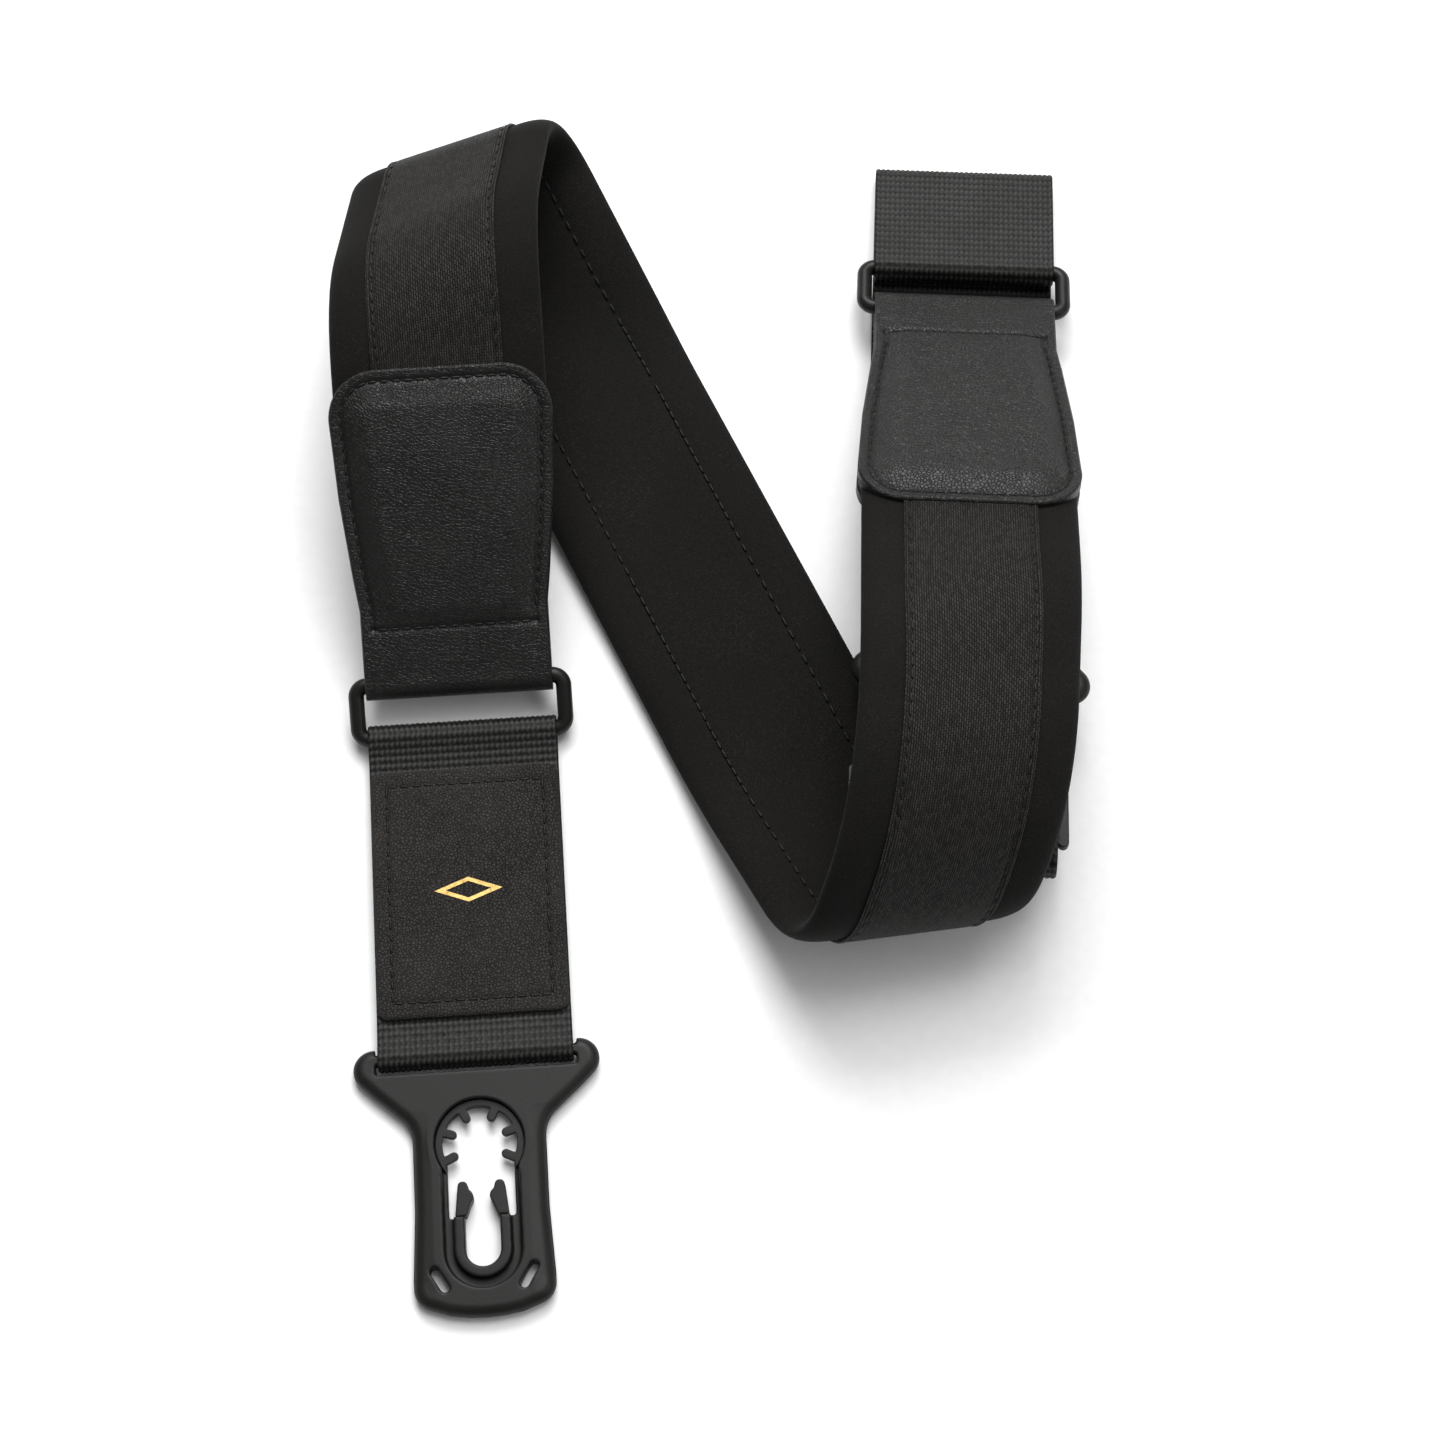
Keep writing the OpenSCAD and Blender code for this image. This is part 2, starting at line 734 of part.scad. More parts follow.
// Side view: X back towards the ring, the lock's bar at X = tail_len
module tail_run_side() {
    bar = [tail_len, -tail_drop];
    difference() {
        union() {
            translate(bar)
                circle(lock_loop_out);
            polygon([
                [0, web_t / 2], [0, -web_t / 2], [tail_len - 22, -tail_drop + 1.2],
                [tail_len - 1, -tail_drop - lock_loop_out + 0.05],
                [tail_len, -tail_drop - lock_loop_out], [tail_len, -tail_drop + lock_loop_out]
            ]);
        }
        translate(bar)
            circle(lock_loop_in);
        polygon([
            bar + [-0.6, 1.6], bar + [-0.6, -1.6], bar + [-9, 0.6]
        ]);
    }
}
module rear_webbing_tail() {
    color(web_colour) {
        at_rear_run()
            web_extrude(web_w)
                tail_side();
        at_tail()
            rotate([90, 0, 90])
                linear_extrude(web_w, center = true)
                    tail_run_side();
    }
}
rear_lock_pitch = -6.5;
rear_lock_at = tail_at + [-tail_len * sin(tail_lean), tail_len * cos(tail_lean), -tail_drop];
module at_rear_lock() {
    translate(rear_lock_at)
        rotate([0, 0, tail_lean])
            rotate([rear_lock_pitch, 0, 0])
                rotate([0, 0, 180])
                    children();
}

pad_middle();
pad_front();
pad_rear();
strip_middle();
strip_front();
strip_rear();
at_front_end() leather_cover();  // front_leather_cover
at_front_end() leather_back();  // front_leather_back
at_front_end() leather_filler();  // front_leather_filler
at_rear_end() leather_cover();  // rear_leather_cover
at_rear_end() leather_back();  // rear_leather_back
at_rear_end() leather_filler();  // rear_leather_filler
front_ring();
rear_ring();
front_webbing_tab();
front_patch();
front_patch_ornament();
at_front_lock() lock_plate();  // front_lock_plate
at_front_lock() lock_teeth();  // front_lock_teeth
at_front_lock() lock_prong(-1);  // front_prong_left
at_front_lock() lock_prong(1);  // front_prong_right
rear_webbing_run();
rear_webbing_anchor();
rear_webbing_tail();
slider_frame();
at_rear_lock() lock_plate();  // rear_lock_plate
at_rear_lock() lock_teeth();  // rear_lock_teeth
at_rear_lock() lock_prong(-1);  // rear_prong_left
at_rear_lock() lock_prong(1);  // rear_prong_right
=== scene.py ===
"""Padded instrument strap, folded in an N on a white table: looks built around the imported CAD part."""
import math

import bmesh
import bpy
import numpy as np
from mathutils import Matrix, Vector


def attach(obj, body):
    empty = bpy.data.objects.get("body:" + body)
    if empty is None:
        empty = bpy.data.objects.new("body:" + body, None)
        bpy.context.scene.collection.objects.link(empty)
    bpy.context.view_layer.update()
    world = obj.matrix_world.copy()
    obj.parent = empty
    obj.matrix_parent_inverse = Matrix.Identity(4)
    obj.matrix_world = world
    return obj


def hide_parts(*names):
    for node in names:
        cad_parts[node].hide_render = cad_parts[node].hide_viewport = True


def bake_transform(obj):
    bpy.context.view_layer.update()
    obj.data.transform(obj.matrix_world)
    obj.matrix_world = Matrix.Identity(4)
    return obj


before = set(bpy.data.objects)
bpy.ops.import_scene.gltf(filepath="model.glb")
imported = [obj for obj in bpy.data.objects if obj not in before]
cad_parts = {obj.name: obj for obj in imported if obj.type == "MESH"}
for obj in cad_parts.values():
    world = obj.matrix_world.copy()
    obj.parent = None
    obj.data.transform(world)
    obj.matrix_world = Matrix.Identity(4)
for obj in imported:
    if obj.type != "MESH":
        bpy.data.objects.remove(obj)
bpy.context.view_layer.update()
noise = np.random.default_rng(7)
MM = 0.001

# ---- Route of the band: the CAD's own sizes, in millimetres -------------------------
PAD_W, PAD_T, STRIP_W, STRIP_T = 57.0, 7.0, 35.0, 0.8
FRONT_LEN, REAR_LEN, LEATHER_LEN, TUCK = 307.0, 346.0, 88.0, 17.0
MIDDLE_AT = np.array([-7.3, 42.9, PAD_T / 2 + STRIP_T])
HEADING = math.radians(-63.5)
BENDS = {
    -1: [(69.5, 22, 25.5, -40), (117.5, 32, 128.5, -10.5), (175, 34, 54.5, -19)],
    1: [(63, 28, 20, 36), (112, 32, 104.5, 16), (149, 48, 57, 11), (208, 22, 23, 27)],
}
SKEW = {
    -1: ([0, 84, 133.8, 193, 219, FRONT_LEN], [0, -40, -10.5, -19, 0, 0]),
    1: ([0, 80, 128.6, 173.5, 220, 258, REAR_LEN], [0, 36, 16, 11, 27, 0, 0]),
}


def middle_frame(way):
    c, s = math.cos(HEADING), math.sin(HEADING)
    return MIDDLE_AT, np.array([[way * c, way * s, 0], [-s, c, 0], [0, 0, -1]]).T


def bend_parts(b):
    k = math.radians(b[3])
    n = np.array([math.cos(k), -math.sin(k), 0])
    f = np.array([math.sin(k), math.cos(k), 0])
    return n, f, math.radians(b[2]), b[1] / math.radians(b[2])


UP = np.array([0.0, 0.0, 1.0])


def past_bend(fr, b):
    n, f, a, r = bend_parts(b)
    turn = (
        np.outer(n * math.cos(a) - UP * math.sin(a), n)
        + np.outer(f, f)
        + np.outer(UP * math.cos(a) + n * math.sin(a), UP)
    )
    start = np.array([b[0], 0, 0])
    shift = n * r * math.sin(a) - UP * r * (1 - math.cos(a))
    move = start + shift - turn @ (start + n * b[1])
    return fr[0] + fr[1] @ move, fr[1] @ turn


def place(p, way):
    """World positions of strap points (along, across, height over the middle surface)."""
    fr = middle_frame(way)
    out = np.zeros_like(p)
    todo = np.ones(len(p), bool)
    for b in BENDS[way]:
        n, f, a, r = bend_parts(b)
        t = (p[:, 0] - b[0]) * n[0] + p[:, 1] * n[1]
        flat = todo & (t <= 0)
        out[flat] = fr[0] + p[flat] @ fr[1].T
        on = todo & (t > 0) & (t < b[1])
        ang = (t[on] / r)[:, None]
        q = p[on]
        base = np.column_stack([q[:, 0], q[:, 1], np.zeros(len(q))]) - n * t[on][:, None]
        bent = base + n * r * np.sin(ang) - UP * r * (1 - np.cos(ang))
        bent = bent + q[:, 2:3] * (n * np.sin(ang) + UP * np.cos(ang))
        out[on] = fr[0] + bent @ fr[1].T
        todo &= t >= b[1]
        fr = past_bend(fr, b)
    out[todo] = fr[0] + p[todo] @ fr[1].T
    return out


def on_band(s, w, h):
    """World positions for arrays of strap coordinates; a negative s runs out the front way."""
    s, w, h = np.broadcast_arrays(np.asarray(s, float), np.asarray(w, float), np.asarray(h, float))
    shape = s.shape
    s, w, h = s.ravel(), w.ravel(), h.ravel()
    out = np.zeros((len(s), 3))
    for way in (-1, 1):
        m = (s < 0) if way < 0 else (s >= 0)
        d = np.abs(s[m])
        skew = np.tan(np.radians(np.interp(d, *SKEW[way])))
        out[m] = place(np.column_stack([d + w[m] * skew, w[m], h[m]]), way)
    return out.reshape(shape + (3,))


def end_frame(way):
    fr = middle_frame(way)
    for b in BENDS[way]:
        fr = past_bend(fr, b)
    return fr


# ---- Mesh building ------------------------------------------------------------------
SHARP_ANGLE = math.radians(62)


def new_object(name, data):
    ob = bpy.data.objects.new(name, data)
    bpy.context.scene.collection.objects.link(ob)
    return ob


def shade_smooth(me):
    me.polygons.foreach_set("use_smooth", [True] * len(me.polygons))


def mesh_object(name, verts, faces, material, uv=None):
    """An object from points in millimetres; uv holds one pair in metres for each point."""
    me = bpy.data.meshes.new(name)
    me.from_pydata((np.asarray(verts) * MM).tolist(), [], [list(map(int, f)) for f in faces])
    if uv is not None:
        layer = me.uv_layers.new(name="strap")
        loops = np.zeros(len(me.loops), np.int32)
        me.loops.foreach_get("vertex_index", loops)
        layer.data.foreach_set("uv", (np.asarray(uv) * MM)[loops].astype(np.float32).ravel())
    bm = bmesh.new()
    bm.from_mesh(me)
    bmesh.ops.recalc_face_normals(bm, faces=bm.faces)
    bm.to_mesh(me)
    bm.free()
    shade_smooth(me)
    me.set_sharp_from_angle(angle=SHARP_ANGLE)
    me.materials.append(material)
    return new_object(name, me)


def loft(rings, closed_ends=True):
    """Faces joining rows of points: rings is (rows, points round, 3)."""
    n, m = rings.shape[:2]
    i, j = np.meshgrid(np.arange(n - 1), np.arange(m), indexing="ij")
    k = (j + 1) % m
    faces = np.stack([i * m + j, i * m + k, (i + 1) * m + k, (i + 1) * m + j], -1).reshape(-1, 4).tolist()
    if closed_ends:
        half = m // 2
        for row in (0, n - 1):
            b = row * m
            for q in range(half - 1):
                faces.append([b + q, b + q + 1, b + m - 2 - q, b + m - 1 - q])
    return faces


class Stitches:
    """Collects short thread loops, each a flattened capsule lying along its stitch."""

    def __init__(self, length, width, height):
        us = np.linspace(0, math.pi, 7)
        vs = np.linspace(0, 2 * math.pi, 8, endpoint=False)
        pts = [[-length / 2, 0, 0]]
        for u in us[1:-1]:
            for v in vs:
                x = -math.copysign(abs(math.cos(u)) ** 0.6, math.cos(u)) * length / 2
                rad = math.sin(u) ** 0.6
                pts.append([x, rad * math.cos(v) * width / 2, rad * math.sin(v) * height])
        pts.append([length / 2, 0, 0])
        self.shape = np.array(pts)
        rows, m, f = len(us) - 2, 8, []
        for v in range(m):
            f.append([0, 1 + (v + 1) % m, 1 + v])
            f.append([len(pts) - 1, 1 + (rows - 1) * m + v, 1 + (rows - 1) * m + (v + 1) % m])
            for r in range(rows - 1):
                a = 1 + r * m
                f.append([a + v, a + (v + 1) % m, a + m + (v + 1) % m, a + m + v])
        self.faces = f
        self.verts, self.all_faces = [], []

    def add(self, at, along, up):
        along = along / np.linalg.norm(along)
        across = np.cross(up, along)
        across = across / np.linalg.norm(across)
        up = np.cross(along, across)
        k = sum(len(v) for v in self.verts)
        jig = 1 + 0.06 * noise.standard_normal()
        self.verts.append(at + self.shape @ np.array([along * jig, across, up]))
        self.all_faces += [[k + i for i in f] for f in self.faces]

    def build(self, name, material):
        return mesh_object(name, np.vstack(self.verts), self.all_faces, material)


# ---- Materials ----------------------------------------------------------------------
class Shader:
    """A Principled material whose colour, roughness and bumps are added one by one."""

    def __init__(self, name, rough, spec, sheen=0.0, metal=0.0):
        self.mat = bpy.data.materials.new(name)
        self.mat.use_nodes = True
        self.nodes, self.links = self.mat.node_tree.nodes, self.mat.node_tree.links
        self.bsdf = self.nodes["Principled BSDF"]
        put = self.bsdf.inputs
        put["Roughness"].default_value = rough
        put["Specular IOR Level"].default_value = spec
        put["Sheen Weight"].default_value = sheen
        put["Sheen Roughness"].default_value = 0.45
        put["Metallic"].default_value = metal
        self.height = None

    def node(self, kind, **values):
        n = self.nodes.new(kind)
        for key, value in values.items():
            if key in n.inputs:
                n.inputs[key].default_value = value
            else:
                setattr(n, key, value)
        return n

    def coords(self, uv=False):
        if uv:
            return self.node("ShaderNodeUVMap", uv_map="strap").outputs[0]
        return self.node("ShaderNodeTexCoord").outputs["Object"]

    def noise(self, coords, scale, detail):
        n = self.node("ShaderNodeTexNoise", Scale=scale, Detail=detail, Roughness=0.55)
        self.links.new(coords, n.inputs["Vector"])
        return n.outputs["Fac"]

    def math(self, op, a, b):
        n = self.nodes.new("ShaderNodeMath")
        n.operation = op
        for i, v in enumerate((a, b)):
            if isinstance(v, (int, float)):
                n.inputs[i].default_value = v
            else:
                self.links.new(v, n.inputs[i])
        return n.outputs[0]

    def ramp(self, fac, stops):
        r = self.nodes.new("ShaderNodeValToRGB")
        while len(r.color_ramp.elements) < len(stops):
            r.color_ramp.elements.new(0.5)
        for e, (at, colour) in zip(r.color_ramp.elements, stops):
            e.position, e.color = at, (*colour, 1)
        self.links.new(fac, r.inputs[0])
        return r.outputs[0]

    def colour(self, socket):
        self.links.new(socket, self.bsdf.inputs["Base Color"])

    def rough(self, fac, low, high):
        m = self.node("ShaderNodeMapRange")
        m.inputs["To Min"].default_value, m.inputs["To Max"].default_value = low, high
        self.links.new(fac, m.inputs["Value"])
        self.links.new(m.outputs[0], self.bsdf.inputs["Roughness"])

    def bump(self, height, distance, strength=1.0):
        b = self.node("ShaderNodeBump", Strength=strength, Distance=distance)
        self.links.new(height, b.inputs["Height"])
        if self.height is not None:
            self.links.new(self.height, b.inputs["Normal"])
        self.height = b.outputs[0]
        self.links.new(self.height, self.bsdf.inputs["Normal"])


def warm(v, tint=0.86):
    return (v, v * (1 + tint) / 2, v * tint)


def neoprene():
    m = Shader("neoprene_jersey", 0.9, 0.1, sheen=0.03)
    c = m.coords()
    fine = m.noise(c, 2600, 2)
    broad = m.noise(c, 45, 4)
    mix = m.math("ADD", m.math("MULTIPLY", fine, 0.8), m.math("MULTIPLY", broad, 0.25))
    m.colour(m.ramp(mix, [(0.35, warm(0.0045)), (0.62, warm(0.0095)), (0.80, warm(0.028))]))
    m.rough(broad, 0.78, 0.95)
    m.bump(fine, 0.00012, 0.8)
    m.bump(broad, 0.0006, 0.3)
    return m.mat


def woven():
    """Close weave of short raised floats, staggered row by row like bricks."""
    m = Shader("woven_strip", 0.6, 0.13, sheen=0.01)
    uv = m.coords(uv=True)
    b = m.node("ShaderNodeTexBrick", offset=0.5, offset_frequency=2)
    b.inputs["Scale"].default_value = 1000.0
    b.inputs["Mortar Size"].default_value = 0.17
    b.inputs["Mortar Smooth"].default_value = 1.0
    b.inputs["Brick Width"].default_value = 1.35
    b.inputs["Row Height"].default_value = 0.62
    b.inputs["Color1"].default_value = (0.9, 0.9, 0.9, 1)
    b.inputs["Color2"].default_value = (0.5, 0.5, 0.5, 1)
    b.inputs["Mortar"].default_value = (0, 0, 0, 1)
    m.links.new(uv, b.inputs["Vector"])
    wear = m.noise(m.coords(), 60, 4)
    fibre = m.noise(m.coords(), 3500, 2)
    face = m.math("MULTIPLY", b.outputs["Color"], m.math("ADD", 0.55, m.math("MULTIPLY", fibre, 0.8)))
    m.colour(m.ramp(face, [(0.0, warm(0.003)), (0.45, warm(0.012)), (1.0, warm(0.042))]))
    m.rough(wear, 0.48, 0.68)
    m.bump(b.outputs["Fac"], -0.00022, 0.9)
    m.bump(fibre, 0.00005, 0.5)
    return m.mat


def leather(name="leather_satin", base=0.008, rough=0.38, spec=0.28, pebble=0.00009, size=1100.0):
    m = Shader(name, rough, spec)
    c = m.coords()
    v = m.node("ShaderNodeTexVoronoi", feature="DISTANCE_TO_EDGE", Scale=size)
    m.links.new(c, v.inputs["Vector"])
    grain = m.math("MINIMUM", m.math("MULTIPLY", v.outputs["Distance"], 6.0), 1.0)
    fine = m.noise(c, 2200, 3)
    broad = m.noise(c, 70, 5)
    tone = m.math("ADD", m.math("MULTIPLY", broad, 0.6), m.math("MULTIPLY", grain, 0.28))
    m.colour(m.ramp(tone, [(0.22, warm(base * 0.5)), (0.5, warm(base)), (0.75, warm(base * 1.5))]))
    m.rough(broad, rough - 0.06, rough + 0.08)
    m.bump(broad, 0.0012, 0.25)
    m.bump(grain, pebble, 0.9)
    m.bump(fine, 0.0001, 0.6)
    return m.mat


def web():
    m = Shader("webbing_weave", 0.48, 0.2)
    c = m.coords()
    fibre = m.noise(c, 2800, 3)
    broad = m.noise(c, 80, 3)
    # Painted light: the colour follows the weave's height. It is near black in the hollows between bumps
    # (painted shade) and lighter on the bump tops (painted highlight).
    g = m.node("ShaderNodeVertexColor", layer_name="weave_height_painted_light")
    lift = m.math("MULTIPLY", g.outputs["Color"], m.math("ADD", 0.6, m.math("MULTIPLY", fibre, 0.7)))
    m.colour(m.ramp(lift, [(0.0, warm(0.0008)), (0.55, warm(0.004)), (1.0, warm(0.036))]))
    m.rough(broad, 0.42, 0.6)
    m.bump(fibre, 0.00008, 0.7)
    return m.mat


def plastic(name, rough, base):
    m = Shader(name, rough, 0.24)
    c = m.coords()
    fine = m.noise(c, 1500, 2)
    broad = m.noise(c, 60, 4)
    m.colour(m.ramp(broad, [(0.3, warm(base * 0.8)), (0.7, warm(base * 1.15))]))
    m.rough(broad, rough - 0.07, rough + 0.08)
    m.bump(fine, 0.00005, 0.6)
    m.bump(broad, 0.0005, 0.15)
    return m.mat


def thread():
    m = Shader("sewing_thread", 0.5, 0.25)
    c = m.coords()
    n = m.noise(c, 4000, 2)
    m.colour(m.ramp(n, [(0.3, warm(0.002)), (0.7, warm(0.008))]))
    m.bump(n, 0.0001, 0.7)
    return m.mat


def foil():
    m = Shader("pressed_foil", 0.3, 0.5, metal=0.9)
    n = m.noise(m.coords(), 900, 4)
    m.colour(m.ramp(n, [(0.25, (0.22, 0.13, 0.04)), (0.7, (0.5, 0.34, 0.12))]))
    m.rough(n, 0.25, 0.45)
    m.bump(n, 0.00006, 0.6)
    return m.mat


NEOPRENE, WOVEN, LEATHER, WEB = neoprene(), woven(), leather(), web()
PATCH_LEATHER = leather("patch_leather", 0.025, 0.6, 0.16, 0.00024, 1250.0)
RING_PLASTIC = plastic("ring_plastic", 0.4, 0.008)
LOCK_PLASTIC = plastic("lock_plastic", 0.46, 0.009)
THREAD, FOIL = thread(), foil()

# ---- Padded band --------------------------------------------------------------------
SEAM_W, SEAM_PITCH = 15.9, 3.6
DENT = 0.4
BAND_STEP = 0.9


def pad_rings(s):
    """Section round the pad at each s: rounded long edges, sewn-in lines on both faces."""
    k = np.sin(np.linspace(-0.5, 0.5, 65) * math.pi)
    w = np.concatenate([k, k[::-1][1:-1]]) * (PAD_W / 2 - 0.02)
    side = np.concatenate([np.ones(65), -np.ones(63)])
    h = (PAD_T / 2) * (1 - np.abs(w / (PAD_W / 2)) ** 7) ** (1 / 2.4)
    bulge = 0.28 * np.cos(np.clip((np.abs(w) - 22) / 6, -1, 1) * math.pi / 2)
    pull = 0.72 + 0.28 * np.cos(2 * math.pi * s / SEAM_PITCH)[:, None]
    dent = DENT * np.exp(-(((np.abs(w) - SEAM_W - 0.1) / 1.1) ** 2))[None, :] * pull
    wave = 0.10 * np.sin(s / 9.7)[:, None] * np.cos(w / 6.3)[None, :]
    h = (h - 0.3 + bulge)[None, :] - dent + wave * (np.abs(w) < 26)[None, :]
    h = np.minimum(h, PAD_T / 2)
    h = np.maximum(h, 0) * side[None, :]
    return on_band(s[:, None], w[None, :], h), np.broadcast_to(w[None, :], h.shape)


def strip_rings(s):
    """Flat strip with a rolled bead along each edge and a sewn line inside it."""
    k = np.linspace(-STRIP_W / 2, STRIP_W / 2, 71)
    edge = STRIP_W / 2 - np.abs(k)
    top = PAD_T / 2 + STRIP_T - 0.12 + 0.12 * np.exp(-(((edge - 0.6) / 0.45) ** 2))
    top = top - 0.35 * np.exp(-(((edge - 1.6) / 0.5) ** 2)) - 0.35 * (edge < 0.25)
    under = np.full(69, PAD_T / 2 - 0.9)
    w = np.concatenate([k, k[::-1][1:-1]])
    h = np.broadcast_to(np.concatenate([top, under])[None, :], (len(s), len(w))).copy()
    h[:, :71] -= 0.07 * (np.cos(2 * math.pi * s / SEAM_PITCH)[:, None] + 1) * np.exp(
        -(((edge - 1.6) / 0.9) ** 2)
    )
    return on_band(s[:, None], w[None, :], h), np.broadcast_to(w[None, :], h.shape)


def band_piece(name, a, b, maker, material):
    s = np.linspace(a, b, int(math.ceil((b - a) / BAND_STEP)) + 1)
    rings, w = maker(s)
    uv = np.stack([np.broadcast_to(s[:, None], w.shape), w + 40], -1).reshape(-1, 2)
    return mesh_object(name, rings.reshape(-1, 3), loft(rings), material, uv)


def seam_piece(name, a, b):
    """Thread along the strip's edges and on the back, between two places on the band."""
    st = Stitches(2.7, 0.75, 0.33)
    first = math.ceil(a / SEAM_PITCH)
    for i in range(first, int(math.floor(b / SEAM_PITCH)) + 1):
        s = (i + 0.5) * SEAM_PITCH
        if s + 1.4 > b:
            continue
        for w in (-SEAM_W, SEAM_W):
            for h in (PAD_T / 2 + STRIP_T - 0.42, -(PAD_T / 2 - DENT * 0.55)):
                if -s > FRONT_LEN - LEATHER_LEN - 1 or s > REAR_LEN - LEATHER_LEN - 1:
                    continue
                at, fwd, out = on_band([s, s + 0.8, s], [w, w, w], [h, h, h + math.copysign(1, h)])
                st.add(at, fwd - at, out - at)
    return st.build(name, THREAD)


def hinge_s(way):
    """Distance along the band from its middle to the middle of the bend that turns most."""
    start, width, _, skew = BENDS[way][1]
    return start + width / 2 / math.cos(math.radians(skew))


FRONT_CUTS, REAR_CUTS = (60.0, 160.0), (50.0, 163.0)
front_stop, rear_stop = FRONT_LEN - LEATHER_LEN, REAR_LEN - LEATHER_LEN
ranges = {
    "front_leg": (-front_stop, -FRONT_CUTS[1]),
    "front_roll": (-FRONT_CUTS[1], -FRONT_CUTS[0]),
    "diagonal": (-FRONT_CUTS[0], REAR_CUTS[0]),
    "rear_roll": (REAR_CUTS[0], REAR_CUTS[1]),
    "rear_leg": (REAR_CUTS[1], rear_stop),
}
standing = {
    "front_leg": ("pad_front", "strip_front"),
    "diagonal": ("pad_middle", "strip_middle"),
    "rear_leg": ("pad_rear", "strip_rear"),
}
for key, (a, b) in ranges.items():
    pad_a = a - TUCK + 1 if key == "front_leg" else a
    pad_b = b + TUCK - 1 if key == "rear_leg" else b
    pad = band_piece("pad_" + key + "_look", pad_a, pad_b, pad_rings, NEOPRENE)
    strip = band_piece("strip_" + key + "_look", a, b, strip_rings, WOVEN)
    seam = seam_piece("seam_" + key, a, b)
    for ob, slot in ((pad, "neoprene"), (strip, "woven_strip"), (seam, "thread")):
        if key in ("front_roll", "rear_roll"):
            way = -1 if key == "front_roll" else 1
            hinge = hinge_s(way)
            here, ahead = on_band([way * hinge, way * (hinge + 1)], [0, 0], [0, 0])
            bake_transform(ob)
        else:
            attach(ob, "middle" if key == "diagonal" else key)
    if key in standing:
        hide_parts(standing[key][0])
        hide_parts(standing[key][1])

# ---- Leather ends -------------------------------------------------------------------
LT = 1.7
RING_BAR_R, RING_SPAN = 2.1, 14.5
FOLD_OUT = RING_BAR_R + 0.25 + LT
END_HALF, END_R, END_SEAM_IN = 30.0, 13.0, 3.2
PAD_END = FOLD_OUT - LEATHER_LEN
EDGE_Z = PAD_T / 2 + 0.1 + LT
LIP = -20.0
CROSS_SEAM = LIP + 5
TOP_LINE = (
    [PAD_END, PAD_END + 5, PAD_END + 22, PAD_END + 46, LIP, LIP + 6, LIP + 12, -2.0],
    [EDGE_Z - 0.2, 6.2, 6.75, 6.6, 5.75, 4.5, 4.4, FOLD_OUT + 0.05],
)


def end_half(x):
    """Half width of a leather end at each x, with rounded corners at the pad."""
    places = [PAD_END, PAD_END + END_R, PAD_END + 34, PAD_END + 56, LIP, FOLD_OUT]
    side = np.interp(x, places, [END_HALF, END_HALF, 28.8, 26.4, 25.3, 25.3])
    back = np.clip(PAD_END + END_R - x, 0, END_R)
    return side - END_R + np.sqrt(np.maximum(END_R**2 - back**2, 0))


def to_outline(x, y):
    """Distance in from the sewn outline: the two sides and the rounded pad end."""
    side = end_half(np.maximum(x, PAD_END + END_R)) - np.abs(y)
    dx, dy = PAD_END + END_R - x, np.abs(y) - (END_HALF - END_R)
    corner = END_R - np.hypot(np.maximum(dx, 0), np.maximum(dy, 0))
    return np.where(dx > 0, np.where(dy > 0, corner, np.minimum(x - PAD_END, END_R)), side)


def end_top(x, y):
    d = np.maximum(to_outline(x, y), 0)
    line = np.interp(x, *TOP_LINE)
    nose = np.where(x > 0, np.sqrt(np.maximum(FOLD_OUT**2 - np.maximum(x, 0) ** 2, 0)), line)
    low = np.interp(x, [PAD_END, PAD_END + 20, LIP, -8, -4], [EDGE_Z - 0.25, 4.2, 3.7, 4.1, 4.2])
    t = np.clip((d - 2.6) / 8.5, 0, 1)
    z = low + (np.maximum(nose, low) - low) * (t * t * (3 - 2 * t))
    z = np.where(x > -4, nose, z)
    z = z - 0.5 * np.exp(-(((d - END_SEAM_IN) / 0.75) ** 2)) * (x < LIP + 5.6)
    z = z - 0.50 * np.exp(-(((x - CROSS_SEAM) / 0.8) ** 2)) * np.clip((d - 2.4) / 0.8, 0, 1)
    z = z - 0.55 * np.clip(1 - d / 0.7, 0, 1) ** 2
    return z + 0.10 * np.sin(x / 5.1 + 0.7) * np.cos(y / 7.3) * np.clip((d - 4) / 6, 0, 1) * (x < -6)


def end_bottom(x, y):
    d = np.maximum(to_outline(x, y), 0)
    flat = -EDGE_Z + np.interp(x, [LIP - 1, LIP + 12, 0], [0, 0.9, EDGE_Z - FOLD_OUT])
    nose = np.where(x > 0, -np.sqrt(np.maximum(FOLD_OUT**2 - np.maximum(x, 0) ** 2, 0)), flat)
    z = nose + 0.35 * np.exp(-(((d - END_SEAM_IN) / 0.75) ** 2)) * (x < LIP + 5.6)
    z = z + 0.6 * np.exp(-(((x - LIP) / 0.3) ** 2)) + 0.35 * np.exp(-(((x - CROSS_SEAM) / 0.8) ** 2))
    return z + 0.5 * np.clip(1 - d / 0.7, 0, 1) ** 2


